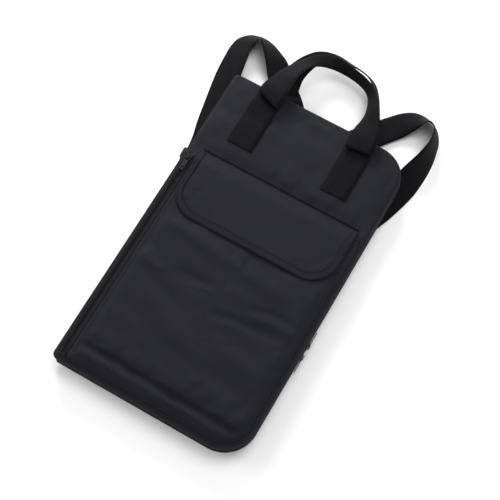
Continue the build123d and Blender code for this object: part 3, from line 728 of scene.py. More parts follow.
# folds in the pocket's face: (start, end, height, half width), in millimetres
FOLDS = [
    ((-117, -6), (22, -15), 2.6, 10), ((10, -14), (108, -31), 2.3, 11), ((-112, -58), (-62, -68), 2.4, 7),
    ((-64, -66), (12, -52), -2.6, 8), ((-104, -74), (-10, -112), -2.0, 10),
    ((-14, -58), (52, -44), 1.9, 10),
    ((50, -54), (121, -49), -2.2, 5), ((56, -64), (122, -60), 2.2, 5), ((0, -88), (119, -72), -3.0, 7),
    ((-92, -108), (34, -146), 2.6, 15), ((20, -106), (96, -104), -1.7, 12),
    ((30, -120), (118, -134), 1.6, 9),
    ((-108, -146), (-36, -168), 1.6, 12), ((44, -152), (118, -168), -1.5, 10),
    ((-12, -166), (96, -182), 1.5, 10),
]
CREASE = ((-114.0, -203.0), (108.0, -208.0))


def along_line(x, y, start, end):
    """(share of the way along a line, distance from it)."""
    dx, dy = end[0] - start[0], end[1] - start[1]
    length = hypot(dx, dy)
    share = ((x - start[0]) * dx + (y - start[1]) * dy) / (length * length)
    return share, ((x - start[0]) * dy - (y - start[1]) * dx) / length


def fold_height(x, y):
    total = 0.0
    for start, end, height, spread in FOLDS:
        share, away = along_line(x + 5 * drift(x, y, 40, 5.5), y + 7 * drift(x, y, 48, 1.5), start, end)
        ends = ease(share, -0.25, 0.4) * ease(-share, -1.25, -0.6)
        total += height * ends * 2.718 ** (-(away / spread) ** 2)
    return total


def pocket_is_sewn(x, y):
    _, below = along_line(x, y, *CREASE)
    return inset_of(x, y, POCKET, POCKET_RADII) < 4 or y > 18 or abs(below) < 3


pocket_pucker = puckers("pocket_cloth", POCKET, pocket_is_sewn, pressure=0.5, slack=0.022, cap=1.5,
                        stiffness=10.0,
                        bending=0.25)


def pocket_height(x, y):
    inset = inset_of(x, y, POCKET, POCKET_RADII)
    inner = ease(inset, 0, 14)
    fullness = ease(-y, -26, 6)
    _, below = along_line(x, y, *CREASE)
    crease = -4.6 * 2.718 ** (-(below / 4.6) ** 2) * ease(x, POCKET[0] + 1, POCKET[0] + 14) * ease(inset, 1,
            9)
    band = 1.6 * 2.718 ** (-((below - 14) / 8.0) ** 2) * ease(inset, 2, 12)
    above = 1.9 * 2.718 ** (-((below + 17) / 13.0) ** 2)
    pucker = 0.75 * pocket_pucker(x, y)
    swell = (1.7 * inner + 0.8 * drift(x, y, 46, 4.4) + fold_height(x,
                                                                    y) + above + pucker) * fullness * inner
    floor = front_height(x, y) + 1.7
    sewn = ease(x, POCKET[0] + 8, POCKET[0] + 30) * ease(-y, -60, -20) * (1 - ease(inset, -1, 15))
    face = FACE_LEVEL + swell + (crease + band) * ease(inset, 0, 5)
    return max(floor, face + (floor - face) * 0.85 * sewn)


def pocket_edge(drop):
    """A row at the pocket's rim: it drops down the wall, except along the open mouth."""
    def height(x, y):
        at_mouth = ease(y, MOUTH_Y - 9, MOUTH_Y - 2)
        foot = front_skin.height(x, y, FRONT_TOP) + 0.2
        return max(foot, pocket_height(x, y) - drop * (1 - at_mouth) - 0.4 * at_mouth)
    return height


# %% Pocket
rows = [(0.4, pocket_edge(7.0)), (-0.9, pocket_edge(5.2)), (-1.3, pocket_edge(3.4)),
        (-0.7, pocket_edge(1.6)),
        (0.5, pocket_edge(0.5)), (2.2, pocket_height)]
rows += [(inset, pocket_height) for inset in [4.0 + 2.7 * n for n in range(44)]]
pocket = shell_of_rings("front_pocket", POCKET, POCKET_RADII, rows, shell_cloth, close_first=False)
pocket = thickened(pocket, 1.0)
pocket_skin = Surface(pocket)
finish_piece(pocket, "front_shell", "shell_fabric", "pocket_panel", "pocket_gusset")


def pocket_height_now(x, y):
    return pocket_skin.height(x, y, FACE_LEVEL)


# %% [markdown]
# ## The flap
# The flap is two layers with a bound edge. It is sewn along a straight seam above the pocket's mouth,
# climbs on to the pocket within a finger's width, and lies there held by its hidden fastener.

# %% Flap
FLAP = (FLAP_X[0], FLAP_X[1], FLAP_Y[0], FLAP_Y[1])
FLAP_RADII = (40.0, 40.0, 1.0, 1.0)
FLAP_TOP = FLAP_Z[1]
CLIMB = 22.0
HOOKS = reach("flap_hook_tape")
BINDING = 7.5


flap_pucker = puckers("flap_cloth", FLAP, lambda x,
                      y: inset_of(x, y, FLAP, FLAP_RADII) < 8 or y > SEAM_Y - 10,
                      pressure=0.3, slack=0.008, cap=0.6)


def flap_height(x, y):
    climb = ease(SEAM_Y - y, -2.0, CLIMB)
    inset = inset_of(x, y, FLAP, FLAP_RADII)
    ripple = 0.7 * drift(x, y, 42, 9.1) + 0.3 * drift(x, y, 17, 6.1) + 0.7 * flap_pucker(x, y)
    lip = 1.1 * sin(x / 26 + 0.6) * ease(40 - y, 0, 34) * (1 - ease(inset, 12, 40))
    groove = 0.9 * 2.718 ** (-((inset - BINDING - 1.0) / 0.9) ** 2) * (1 - ease(y, SEAM_Y - 22,
            SEAM_Y - 10))
    beside = max(HOOKS[0][0] - x, x - HOOKS[0][1], HOOKS[1][0] - y, y - HOOKS[1][1])
    calm = ease(beside, 1, 14)
    high = FLAP_TOP - 0.7 + (ripple * ease(SEAM_Y - y, 2, 30) + lip) * calm - groove
    high += (HOOKS[2][0] + 2.2 - FLAP_TOP + 0.7) * (1 - calm)
    low = front_skin.height(x, SEAM_Y, FRONT_TOP) + 1.9
    return low + (high - low) * climb


rows = [(0.3, lambda x, y: flap_height(x, y) - 0.5)]
rows += [(inset, flap_height) for inset in [0.8, 2.2, 4.2, 6.4, 7.6, 8.5, 9.4,
                                            10.6] + [12.8 + 2.4 * n for n in range(15)]]
flap = shell_of_rings("flap", FLAP, FLAP_RADII, rows, shell_cloth, close_first=False)
flap = thickened(flap, 1.7)
flap_skin = Surface(flap)
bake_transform(flap)
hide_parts("flap_cover", "flap_lining")
print("flap spans", [round(v) for v in FLAP])


# %% [markdown]
# Bias binding is a folded tape round the flap's raw edge, stitched through near its inner side. It is
# swept round the three free sides. Its section wraps the edge, a little fuller on top.

# %% Edge paths and binding
def open_path(box, radii, inset, y_stop):
    """The left, bottom and right sides of a rounded rectangle, as (x, y, outward x, outward y)."""
    ring = rounded_ring(box, radii, inset, sides=(70, 60), turn=16)
    start = min(range(len(ring)), key=lambda n: (abs(ring[n][0] - box[0] - inset) > 0.1, -ring[n][1]))
    order = [ring[(start + n) % len(ring)] for n in range(len(ring))]
    points = [p for p in order if p[1] <= y_stop]
    path = []
    for n, (x, y) in enumerate(points):
        ax, ay = points[max(0, n - 1)]
        bx, by = points[min(len(points) - 1, n + 1)]
        size = hypot(bx - ax, by - ay) or 1.0
        path.append((x, y, (by - ay) / size, -(bx - ax) / size))
    return path


def swept_edge(name, path, section, height, material):
    """Sweeps a closed (outwards, up) section along a path that lies on a surface."""
    points, faces, size = [], [], len(section)
    for x, y, ox, oy in path:
        for out, up in section:
            points.append((x + ox * out, y + oy * out, height(x, y) + up))
    for row in range(len(path) - 1):
        for k in range(size):
            a, b = row * size + k, row * size + (k + 1) % size
            faces.append((a, b, b + size, a + size))
    faces += [tuple(range(size))[::-1], tuple(range(len(points) - size, len(points)))]
    return face_outwards(new_piece(name, points, faces, material))


flap_edge = open_path(FLAP, FLAP_RADII, 0.3, SEAM_Y - 4)
binding_section = [(-BINDING, 0.0), (-BINDING + 0.5, 0.8), (-BINDING + 1.6, 0.7), (-4.0, 1.0), (-1.0, 1.1),
                   (0.6, 0.5),
                   (0.8, -0.7), (-0.2, -2.0), (-3.5, -2.3), (-BINDING, -2.2), (-BINDING, -1.2)]


def flap_top(x, y):
    return flap_skin.height(x, min(y, SEAM_Y - 1), FLAP_TOP)


def under_edge(x, y):
    """The flap's top beside its edge, read a little inside it so that the reading never misses."""
    cx, cy = sum(FLAP[:2]) / 2, FLAP[3] - 30
    dx, dy = cx - x, cy - y
    size = hypot(dx, dy)
    return flap_skin.height(x + 3 * dx / size, y + 3 * dy / size, FLAP_TOP)


binding = swept_edge("flap_edge_binding", flap_edge, binding_section, under_edge, binding_cloth)
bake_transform(binding)
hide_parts("flap_binding")
print("binding sections:", len(flap_edge))


# %% [markdown]
# A strip of cloth joins the pocket's open left side to the case, with the side zip let into it. Each
# side of it is a narrow folded band over the tape's edge.

# %% Side zip strip
ZIP_X = sum(reach("side_zip_tape")[0]) / 2
TAPE_TOP = reach("side_zip_tape")[2][1]


def zip_band(name, inner_x, outer_x, foot_x, replaced):
    """A folded band from the zip's tape out to where it is sewn down."""
    points, faces = [], []
    y0, y1, count = STRIP_Y[0] + 1, STRIP_Y[1] - 0.5, 90
    for n in range(count + 1):
        y = y0 + (y1 - y0) * n / count
        wave = 0.35 * drift(outer_x * 3, y, 22, 8.2)
        foot = front_skin.height(foot_x, y, FRONT_TOP - 1.0)
        sag = ease(y - y0, 0, 10)
        top = foot + 0.6 + (TAPE_TOP + 0.9 + wave - foot - 0.6) * sag
        step = (outer_x - inner_x) / 3
        points += [(inner_x, y, top - 0.9), (inner_x + 0.15 * step, y, top),
                   (inner_x + step, y, top + 0.35),
                   (inner_x + 2 * step, y, top + 0.15), (outer_x, y, top - 0.5), (foot_x, y, foot + 0.1)]
    for n in range(count):
        for k in range(5):
            a = n * 6 + k
            faces.append((a, a + 1, a + 7, a + 6))
    band = thickened(face_outwards(new_piece(name, points, faces, shell_cloth)), 0.8)
    return finish_piece(band, "front_shell", "shell_fabric", *replaced)


zip_band("side_zip_outer_band", ZIP_X - 2.4, STRIP_X[0] + 1.2, STRIP_X[0] - 0.2, ["side_zip_strip"])
zip_band("side_zip_inner_band", ZIP_X + 2.4, STRIP_X[1] - 0.3, STRIP_X[1] + 0.2, [])


# %% [markdown]
# ## Webbing
# Straps are ribbons with rounded edges. A smooth curve is threaded through a few stations, and at each
# one the strap can turn on edge or narrow where it is folded. The UV map follows the weave.

# %% Ribbon helper
ACROSS_STEPS = 6


def between(a, b, c, d, t):
    """Catmull-Rom: the smooth value between b and c."""
    return 0.5 * (2 * b + (c - a) * t + (2 * a - 5 * b + 4 * c - d) * t * t + (3 * b - a - 3 * c + d)
                  * t ** 3)


def threaded(stations, steps=8):
    """Smooth stations from a few: each is a tuple of numbers."""
    ends = [stations[0]] + list(stations) + [stations[-1]]
    out = []
    for n in range(len(stations) - 1):
        for k in range(steps):
            out.append(tuple(between(*values, k / steps) for values in zip(*ends[n:n + 4])))
    return out + [tuple(stations[-1])]


def ribbon(name, stations, material, thickness=WEB_T, crown=0.0, steps=8):
    """Webbing through stations of (x, y, z, across x, across y, across z, width), thickness added."""
    rows = threaded(stations, steps)
    centres = [Vector(r[:3]) for r in rows]
    points, uvs, faces, travelled = [], [], [], 0.0
    ring = 2 * (ACROSS_STEPS + 1)
    for n, row in enumerate(rows):
        centre, across, width = centres[n], Vector(row[3:6]).normalized(), row[6]
        along = (centres[min(n + 1, len(rows) - 1)] - centres[max(n - 1, 0)]).normalized()
        out = across.cross(along).normalized()
        if n:
            travelled += (centre - centres[n - 1]).length
        for side in (1, -1):
            for k in range(ACROSS_STEPS + 1):
                share = (k / ACROSS_STEPS) * 2 - 1
                place = share * side
                rim = 1.0 - 0.45 * abs(place) ** 8
                curl = crown * (1 - place * place)
                points.append(centre + across * (place * width / 2) + out
                              * (-side * thickness / 2 * rim + curl))
                uvs.append((travelled * MM, (place + 1) / 2 * WEB_WIDTH * MM))
    for n in range(len(rows) - 1):
        for k in range(ring):
            a, b = n * ring + k, n * ring + (k + 1) % ring
            faces.append((a, b, b + ring, a + ring))
    faces += [tuple(range(ring))[::-1], tuple(range(len(points) - ring, len(points)))]
    obj = new_piece(name, [tuple(p) for p in points], faces, material, uvs)
    work = bmesh.new()
    work.from_mesh(obj.data)
    bmesh.ops.recalc_face_normals(work, faces=work.faces)
    work.to_mesh(obj.data)
    work.free()
    print(f"{name}: {travelled:.0f} mm of webbing")
    return obj


def tilted(x, y, z, heading, roll, width):
    """A station that travels along heading in plan, its left edge raised by roll, in degrees."""
    a, r = radians(heading + 90), radians(roll)
    return (x, y, z, cos(r) * cos(a), cos(r) * sin(a), sin(r), width)


# %% [markdown]
# Each tote handle is one length of webbing. Its feet are sewn flat to the case in a boxed cross. Above
# them it lifts off, and along the grip it is folded in half. Nobody lays a handle down neatly: the
# left side falls open and wide, while the right side twists up on its edge.

# %% Front handle
FRONT_LEG_X = [sum(reach(f"front_handle_{side}_leg")[0]) / 2 for side in ("left", "right")]
LEG_Y = reach("front_handle_left_leg")[1]


def foot_stations(x, rise):
    """A foot lying on the front panel, from its lower end up."""
    out = []
    for n in range(7):
        y = LEG_Y[0] + (LEG_Y[1] - 6 - LEG_Y[0]) * n / 6
        skin = max(front_skin.height(x + dx, y) for dx in (-14, -5, 5, 14))
        out.append(tilted(x, y, skin + WEB_T / 2 + 0.15, 90, 0, WEB_WIDTH) if rise > 0 else
                   tilted(x, y, skin + WEB_T / 2 + 0.15, 270, 0, WEB_WIDTH))
    return out if rise > 0 else out[::-1]


left_x, right_x = FRONT_LEG_X


def pleat(x, high, low, start_z, slant):
    """The webbing above a foot: it runs up, folds back down over itself, and turns up again.
    Its width points the same way throughout, so the strap bends and doesn't twist."""
    turn = [(high - 4, 0.3, 0.2), (high - 1, 0.9, 0.4), (high, 2.2, 0.5), (high - 1, 3.5, 0.6),
            (high - 5, 4.3, 0.8),
            (low + 5, 4.9, 0.9), (low + 1, 5.6, 1.0), (low, 7.0, 1.0), (low + 1, 8.3, 1.0),
            (low + 5, 9.2, 0.9)]
    return [tilted(x, y, start_z + up, 90 + slant * share, 0, WEB_WIDTH) for y, up, share in turn]


front_route = foot_stations(left_x, 1) + pleat(-75.5, 222, 214, 38.2, -20) + [
    tilted(-74.5, 232, 47.8, 80, -8, 38), tilted(-73.5, 246, 45.4, 88, -15, 36),
    tilted(-71.5, 262, 43.0, 86, -24, 33), tilted(-67.5, 279, 37.5, 76, -30, 30),
    tilted(-60.5, 295, 32.5, 60, -30, 26),
    tilted(-51, 307.5, 29.5, 42, -16, 22), tilted(-38, 315.5, 27.5, 20, 6, 19),
    tilted(-21, 318.5, 27.0, 0, 38, 18),
    tilted(1, 316.5, 27.0, -8, 60, 18), tilted(21, 311.5, 28.0, -20, 64, 18),
    tilted(35.5, 303.5, 29.5, -44, 64, 19),
    tilted(45, 291, 32.5, -62, 62, 21), tilted(51.5, 275, 36.5, -68, 60, 25),
    tilted(57, 259, 39.5, -72, 44, 31),
    tilted(62.5, 243, 44.6, -80, 20, 36), tilted(66, 229, 47.8, -88, 5, 38),
] + [station[:3] + tuple(-v for v in station[3:6]) + station[6:] for station in pleat(66.5, 221, 208, 38.2,
        8)[::-1]] \
    + foot_stations(right_x, -1)
front_handle = ribbon("front_tote_handle", front_route, strap_webbing, thickness=2.0, crown=0.3)
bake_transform(front_handle)
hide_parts("front_handle", "front_handle_left_leg", "front_handle_right_leg")


# %% Rear handle
rear_z = sum(reach("rear_handle_left_leg")[2]) / 2
low_x, high_x = REAR_LEG_X


def rear_foot(x, heading, upwards):
    out = [tilted(x, REAR_LEG_Y[0] + (REAR_LEG_Y[1] + 12 - REAR_LEG_Y[0]) * n / 6, rear_z, heading, 0,
                  WEB_WIDTH)
           for n in range(7)]
    return out if upwards else out[::-1]


rear_route = rear_foot(low_x, 90, True) + [
    tilted(-67.5, 242, 3.0, 90, 4, 36), tilted(-69.5, 262, 8.5, 88, 12, 32),
    tilted(-70, 282, 14.0, 80, 18, 28),
    tilted(-64, 301, 18.0, 62, 10, 24), tilted(-52, 318, 20.5, 36, 4, 20),
    tilted(-33, 327.5, 21.5, 12, -22, 18),
    tilted(-8, 330.0, 21.5, -2, -54, 18), tilted(16, 327.5, 21.5, -12, -64, 18),
    tilted(33, 320, 21.0, -34, -62, 18),
    tilted(44, 306, 19.5, -56, -58, 20), tilted(52, 289, 17.5, -66, -52, 24),
    tilted(58.5, 269, 12.5, -76, -36, 30),
    tilted(64, 248, 5.5, -84, -10, 36),
] + rear_foot(high_x, 270, False)
rear_handle = ribbon("rear_tote_handle", rear_route, strap_webbing, thickness=2.0, crown=0.0)
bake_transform(rear_handle)
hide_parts("rear_handle", "rear_handle_left_leg", "rear_handle_right_leg")


# %% [markdown]
# The shoulder straps come out of the top seam beside the handles, bend round on edge, because flat
# webbing can't turn a corner in its own plane, and pass under the bag. Beneath it each one goes
# through a ring on a sewn tab and comes back to its slide adjuster. Their places repeat the design's.

# %% Shoulder straps
STRAP_ROOT = (-52.0, 235.2, 8.4)
# where each strap goes under the bag, and the lean of its run there, both drawn on the left-hand side
LEFT_DIVE = ((-127.5, 119.0), 2.4)
RIGHT_DIVE = ((-114.5, 119.0), 0.0)
# the loop of each strap, from its root on: (x, y, heading, roll) of its middle. It stands on its outer
# edge, so the roll alone gives the height.
LEFT_BEND = [
    (-72, 256, 138, 10), (-93, 275.5, 146, 20), (-102, 285.5, 148, 28), (-113, 294, 152, 41),
    (-126, 302.5, 166, 52),
    (-138.5, 307, 192, 60), (-149, 302, 226, 44), (-156, 292.5, 248, 31), (-158, 281, 260, 27),
    (-157, 266, 270, 24),
    (-153, 237, 278, 16), (-146, 203, 284, 8), (-138, 165, 284, 2),
]
RIGHT_BEND = [
    (-70, 260, 130, 6), (-81, 275, 124, 5), (-90.5, 286.5, 124, 8), (-100, 297.5, 128, 19),
    (-110, 305, 144, 32),
    (-120.5, 308.5, 166, 52), (-131, 307.5, 192, 68), (-140.5, 301, 222, 73), (-146.5, 290, 248, 73),
    (-149, 277, 262, 70),
    (-149.5, 262, 270, 62), (-148, 246, 274, 52), (-144.5, 228, 278, 38), (-140.5, 210, 282, 24),
    (-134.5, 189, 286, 12),
    (-127.5, 166, 284, 4),
]
RUN_LENGTH = 300.0
RUN_Z, RETURN_Z = 2.6, 5.9


def edge_station(x, y, heading, roll):
    """A station of a strap that stands on its outer edge, rolled up from there."""
    return tilted(x, y, 1.2 + WEB_WIDTH / 2 * sin(radians(roll)), heading, roll, WEB_WIDTH)


def strap_route(bend, dive, lean):
    x, y, z = STRAP_ROOT
    route = [(x + 4, y - 9, z + 0.6, -0.82, -0.56, 0.0, 40.0), (x - 2, y + 2, z, -0.86, -0.50, 0.10, 40.0)]
    route += [edge_station(*place) for place in bend]
    end = radians(270 + lean)
    for n in range(6):
        share = RUN_LENGTH * n / 5 - 2
        route.append((dive[0] + cos(end) * share, dive[1] + sin(end) * share, RUN_Z, -sin(end), cos(end),
                      0.0, WEB_WIDTH))
    return route


def returning_route(dive, lean):
    """The layer that comes back from the ring to the adjuster."""
    end = radians(270 + lean)
    spots = [(RUN_LENGTH - 4, RUN_Z + 0.1), (RUN_LENGTH + 0.8, RUN_Z + 0.7),
             (RUN_LENGTH + 1.6, (RUN_Z + RETURN_Z) / 2),
             (RUN_LENGTH + 0.8, RETURN_Z - 0.6), (RUN_LENGTH - 4, RETURN_Z), (200, RETURN_Z),
             (100, RETURN_Z), (14, RETURN_Z)]
    return [(dive[0] + cos(end) * s, dive[1] + sin(end) * s, z, -sin(end), cos(end), 0.0, WEB_WIDTH) for s,
            z in spots]


def tab_route(dive, lean):
    end = radians(270 + lean)
    ring = RUN_LENGTH + 9.0
    spots = [(ring + 24, 6.1), (ring + 4, 6.1), (ring + 0.8, 5.4), (ring, 4.2), (ring + 0.8, 3.1),
             (ring + 4, 2.5), (ring + 24, 2.5)]
    return [(dive[0] + cos(end) * s, dive[1] + sin(end) * s, z, -sin(end), cos(end), 0.0,
             WEB_WIDTH - 0.6 * (s - ring))
            for s, z in spots]


def mirrored(route):
    return [(-s[0], s[1], s[2], -s[3], s[4], s[5], s[6]) for s in route]


for side, bend, under_bag in (("left", LEFT_BEND, LEFT_DIVE), ("right", RIGHT_BEND, RIGHT_DIVE)):
    turn = mirrored if side == "right" else list
    strap = ribbon(f"{side}_strap", turn(strap_route(bend, *under_bag)), strap_webbing)
    finish_piece(strap, "rear_shell", "webbing", f"{side}_shoulder_strap")
    finish_piece(ribbon(f"{side}_strap_return", turn(returning_route(*under_bag)), strap_webbing, steps=5),
                 "rear_shell", "webbing")
    tab = ribbon(f"{side}_ring_tab", turn(tab_route(*under_bag)), strap_webbing, thickness=1.3, steps=5)
    finish_piece(tab, "rear_shell", "webbing", f"{side}_anchor_tab")


# %% [markdown]
# ## What repeats: stitches and zip teeth
# A row of stitches and a row of nylon teeth are the same thing: one small bead set along a line at an
# even pitch and turned to follow it. One Geometry Nodes tree makes both. It walks the curve, puts a
# bead at each step, makes the beads real and gives them their material.

# %% Row tree
def row_tree():
    tree = bpy.data.node_groups.new("beads_in_a_row", "GeometryNodeTree")
    tree.interface.new_socket("Line", in_out="INPUT", socket_type="NodeSocketGeometry")
    for title, value in (("Pitch", 0.003), ("Length", 0.002), ("Width", 0.0006), ("Height", 0.0005)):
        socket = tree.interface.new_socket(title, in_out="INPUT", socket_type="NodeSocketFloat")
        socket.default_value = value
    tree.interface.new_socket("Finish", in_out="INPUT", socket_type="NodeSocketMaterial")
    tree.interface.new_socket("Beads", in_out="OUTPUT", socket_type="NodeSocketGeometry")
    add, link = tree.nodes.new, tree.links.new
    source, sink = add("NodeGroupInput"), add("NodeGroupOutput")
    walk = add("GeometryNodeCurveToPoints")
    walk.mode = "LENGTH"
    link(source.outputs["Line"], walk.inputs["Curve"])
    link(source.outputs["Pitch"], walk.inputs["Length"])
    turn = add("FunctionNodeAlignRotationToVector")
    turn.axis, turn.pivot_axis = "X", "Z"
    link(walk.outputs["Tangent"], turn.inputs["Vector"])
    bead = add("GeometryNodeMeshUVSphere")
    bead.inputs["Segments"].default_value, bead.inputs["Rings"].default_value = 7, 4
    bead.inputs["Radius"].default_value = 0.5
    size = add("ShaderNodeCombineXYZ")
    for axis, title in enumerate(("Length", "Width", "Height")):
        link(source.outputs[title], size.inputs[axis])
    shape = add("GeometryNodeTransform")
    link(bead.outputs["Mesh"], shape.inputs["Geometry"])
    link(size.outputs[0], shape.inputs["Scale"])
    place = add("GeometryNodeInstanceOnPoints")
    link(walk.outputs["Points"], place.inputs["Points"])
    link(shape.outputs["Geometry"], place.inputs["Instance"])
    link(turn.outputs["Rotation"], place.inputs["Rotation"])
    real = add("GeometryNodeRealizeInstances")
    link(place.outputs["Instances"], real.inputs["Geometry"])
    paint = add("GeometryNodeSetMaterial")
    link(real.outputs["Geometry"], paint.inputs["Geometry"])
    link(source.outputs["Finish"], paint.inputs["Material"])
    link(paint.outputs["Geometry"], sink.inputs["Beads"])
    return tree


BEADS = row_tree()


def bead_rows(name, lines, finish, pitch, size):
    """Beads along lines of (x, y, z), in millimetres: size is (length, width, height)."""
    curve = bpy.data.curves.new(name + "_line", "CURVE")
    curve.dimensions = "3D"
    for line in lines:
        spline = curve.splines.new("POLY")
        spline.points.add(len(line) - 1)
        for point, (x, y, z) in zip(spline.points, line):
            point.co = (x * MM, y * MM, z * MM, 1.0)
    guide = bpy.data.objects.new(name + "_guide", curve)
    bpy.context.scene.collection.objects.link(guide)
    modifier = guide.modifiers.new("beads", "NODES")
    modifier.node_group = BEADS
    sockets = {s.name: s.identifier for s in BEADS.interface.items_tree if s.item_type == "SOCKET"}
    for title, value in zip(("Pitch", "Length", "Width", "Height"), (pitch,) + tuple(size)):
        modifier[sockets[title]] = value * MM
    modifier[sockets["Finish"]] = finish
    bpy.context.view_layer.update()
    evaluated = guide.evaluated_get(bpy.context.evaluated_depsgraph_get())
    mesh = bpy.data.meshes.new_from_object(evaluated)
    bpy.data.objects.remove(guide)
    bpy.data.curves.remove(curve)
    mesh.polygons.foreach_set("use_smooth", [True] * len(mesh.polygons))
    obj = bpy.data.objects.new(name, mesh)
    bpy.context.scene.collection.objects.link(obj)
    return obj


STITCH = (2.3, 0.62, 0.5)
STITCH_PITCH = 3.0


def stitched(name, lines, body):
    rows = bead_rows(name, lines, thread, STITCH_PITCH, STITCH)
    return finish_piece(rows, body, "webbing")


# %% [markdown]
# The main zip's teeth run along both facing tapes on three sides. Each half keeps its own row, so
# the rows part when the bag opens.

# %% Zip teeth
TOOTH = (1.05, 1.5, 2.5)
TOOTH_PITCH = 1.45


def zip_line(z, inset=0.85, step=2.0):
    ring = rounded_ring(BAG, BAG_RADII, inset, sides=(90, 150), turn=20)
    start = min(range(len(ring)), key=lambda n: (ring[n][1] > 0, abs(ring[n][0] + HALF_W - 8)))
    line = [ring[(start + n) % len(ring)] for n in range(len(ring))]
    return [(x, y, z) for x, y in line if x > -HALF_W + 7.5]


for half, body in (("rear", "rear_shell"), ("front", "front_shell")):
    z = sum(reach(f"{half}_zip_coil")[2]) / 2
    teeth = bead_rows(f"{half}_zip_teeth", [zip_line(z)], nylon, TOOTH_PITCH, TOOTH)
    finish_piece(teeth, body, "zip_teeth", f"{half}_zip_coil")

coil_z = sum(reach("side_zip_coil")[2]) / 2
lines = [[(ZIP_X + side * 1.75, STRIP_Y[0] + 4 + 3 * n,
           coil_z) for n in range(int((STRIP_Y[1] - STRIP_Y[0] - 8) / 3))]
         for side in (-1, 1)]
teeth = bead_rows("side_zip_teeth", lines, nylon, TOOTH_PITCH, (1.05, 2.4, 1.4))
finish_piece(teeth, "front_shell", "zip_teeth", "side_zip_coil")


# %% [markdown]
# Thread shows wherever cloth is joined: round the binding, along the flap's seam, beside the side zip,
# round the pocket, and in the boxed crosses that fasten each handle's feet.

# %% Stitch lines
def line_on(height, start, end, lift, count=40):
    """A straight stitch line laid on a surface."""
    out = []
    for n in range(count + 1):
        x = start[0] + (end[0] - start[0]) * n / count
        y = start[1] + (end[1] - start[1]) * n / count
        out.append((x, y, height(x, y) + lift))
    return out


def cross_box(height, x0, x1, y0, y1):
    corners = [(x0, y0), (x1, y0), (x1, y1), (x0, y1)]
    lines = [line_on(height, corners[n], corners[(n + 1) % 4], 0.0, 14) for n in range(4)]
    return lines + [line_on(height, corners[0], corners[2], 0.0, 14),
                    line_on(height, corners[1], corners[3], 0.0, 14)]


handle_skin = Surface(front_handle)


def on_handle(x, y):
    return handle_skin.height(x, y, FRONT_TOP + 3) + 0.12


foot_lines = []
for x in FRONT_LEG_X:
    foot_lines += cross_box(on_handle, x - 15.5, x + 15.5, LEG_Y[0] + 2.5, LEG_Y[0] + 34)
    foot_lines += [line_on(on_handle, (x - 15.5, LEG_Y[1] - 9 + k), (x + 15.5, LEG_Y[1] - 9 + k), 0.0,
                           14) for k in (0, 4)]
stitched("front_handle_stitches", foot_lines, "front_shell")

rear_lines = []


def under(x, y):
    return rear_z - WEB_T / 2 - 0.32


for x in REAR_LEG_X:
    rear_lines += cross_box(under, x - 15.5, x + 15.5, REAR_LEG_Y[0] + 2.5, REAR_LEG_Y[0] + 34)
stitched("rear_handle_stitches", rear_lines, "rear_shell")

edge_lines = []
for inset in (1.6, 6.2):
    edge_lines.append([(x - ox * inset, y - oy * inset, under_edge(x - ox * inset, y - oy * inset) + 1.25)
                       for x, y, ox, oy in flap_edge])
edge_stitches = bead_rows("flap_edge_stitches", edge_lines, thread, STITCH_PITCH, STITCH)
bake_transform(edge_stitches)

seam_line = line_on(flap_top, (FLAP[0] + 3, SEAM_Y - 2.6), (FLAP[1] - 3, SEAM_Y - 2.6), 0.15, 90)
stitched("flap_seam_stitches", [seam_line], "front_shell")


# painted shadow: a narrow dark strip lies where the flap folds over its seam, standing for the shade in
# that fold
seam_path = [(x, SEAM_Y + 0.6, 0.0,
              1.0) for x in [FLAP[0] + 1.5 + (FLAP[1] - FLAP[0] - 3) * n / 90 for n in range(91)]]
shadow_strip_section = [(-1.6, 0.3), (-0.6, 0.9), (0.6, 0.8), (1.5, 0.1), (1.5, -1.6), (-1.6, -1.6)]
seam_shadow_strip = swept_edge("flap_seam_painted_shadow", seam_path, shadow_strip_section, lambda x,
                       y: flap_skin.height(x, SEAM_Y - 1.2, FRONT_TOP),
                       seam_shadow)
finish_piece(seam_shadow_strip, "front_shell", "binding")


def wall_line(z, inset):
    return [(x, y, z) for x, y, _ in zip_line(z, inset) if x > -HALF_W + 12]


stitched("rear_wall_stitches", [wall_line(9.9, -0.45)], "rear_shell")
stitched("front_wall_stitches", [wall_line(24.2, -0.75)], "front_shell")


def pocket_run(inset, lift):
    path = open_path(POCKET, POCKET_RADII, inset, MOUTH_Y - 8)
    return [(x, y, pocket_height_now(x, y) + lift) for x, y, _, _ in path]


stitched("pocket_edge_stitches", [pocket_run(3.4, 0.1)], "front_shell")
strip_lines = []
for x in (ZIP_X - 5.4, ZIP_X + 5.2):
    strip_lines.append([(x, STRIP_Y[0] + 12 + 3 * n,
                         TAPE_TOP + 1.25) for n in range(int((STRIP_Y[1] - STRIP_Y[0] - 14) / 3))])
stitched("side_zip_stitches", strip_lines, "front_shell")


# %% [markdown]
# ## Inside
# Opened, the bag shows a smooth lining. The back half has a row of sleeves, one sheet sewn down
# between channels so that each one arches over a pair of sticks. The front half has a flat pocket.

# %% Linings
def lining_wave(level, depth, layer):
    return lambda x, y: level + depth * drift(x, y, 34, layer)


LINING_BOX_INSET = 2.8
rows = [(LINING_BOX_INSET + n * 4.2, lining_wave(LINING_LEVEL + 0.75, 0.25, 11.1)) for n in range(31)]
rear_lining = shell_of_rings("rear_half_lining", BAG, (14, 43, 43, 14), rows, lining_cloth,
                             close_first=False)
finish_piece(thickened(rear_lining, 0.7), "rear_shell", "lining_fabric", "rear_lining")

rows = [(LINING_BOX_INSET + n * 4.2, lining_wave(LINING_CEILING + 0.1, 0.25, 12.4)) for n in range(31)]
front_lining = shell_of_rings("front_half_lining", BAG, (14, 43, 43, 14), rows, lining_cloth,
                              close_first=False)
finish_piece(thickened(front_lining, 0.7), "front_shell", "lining_fabric", "front_lining")


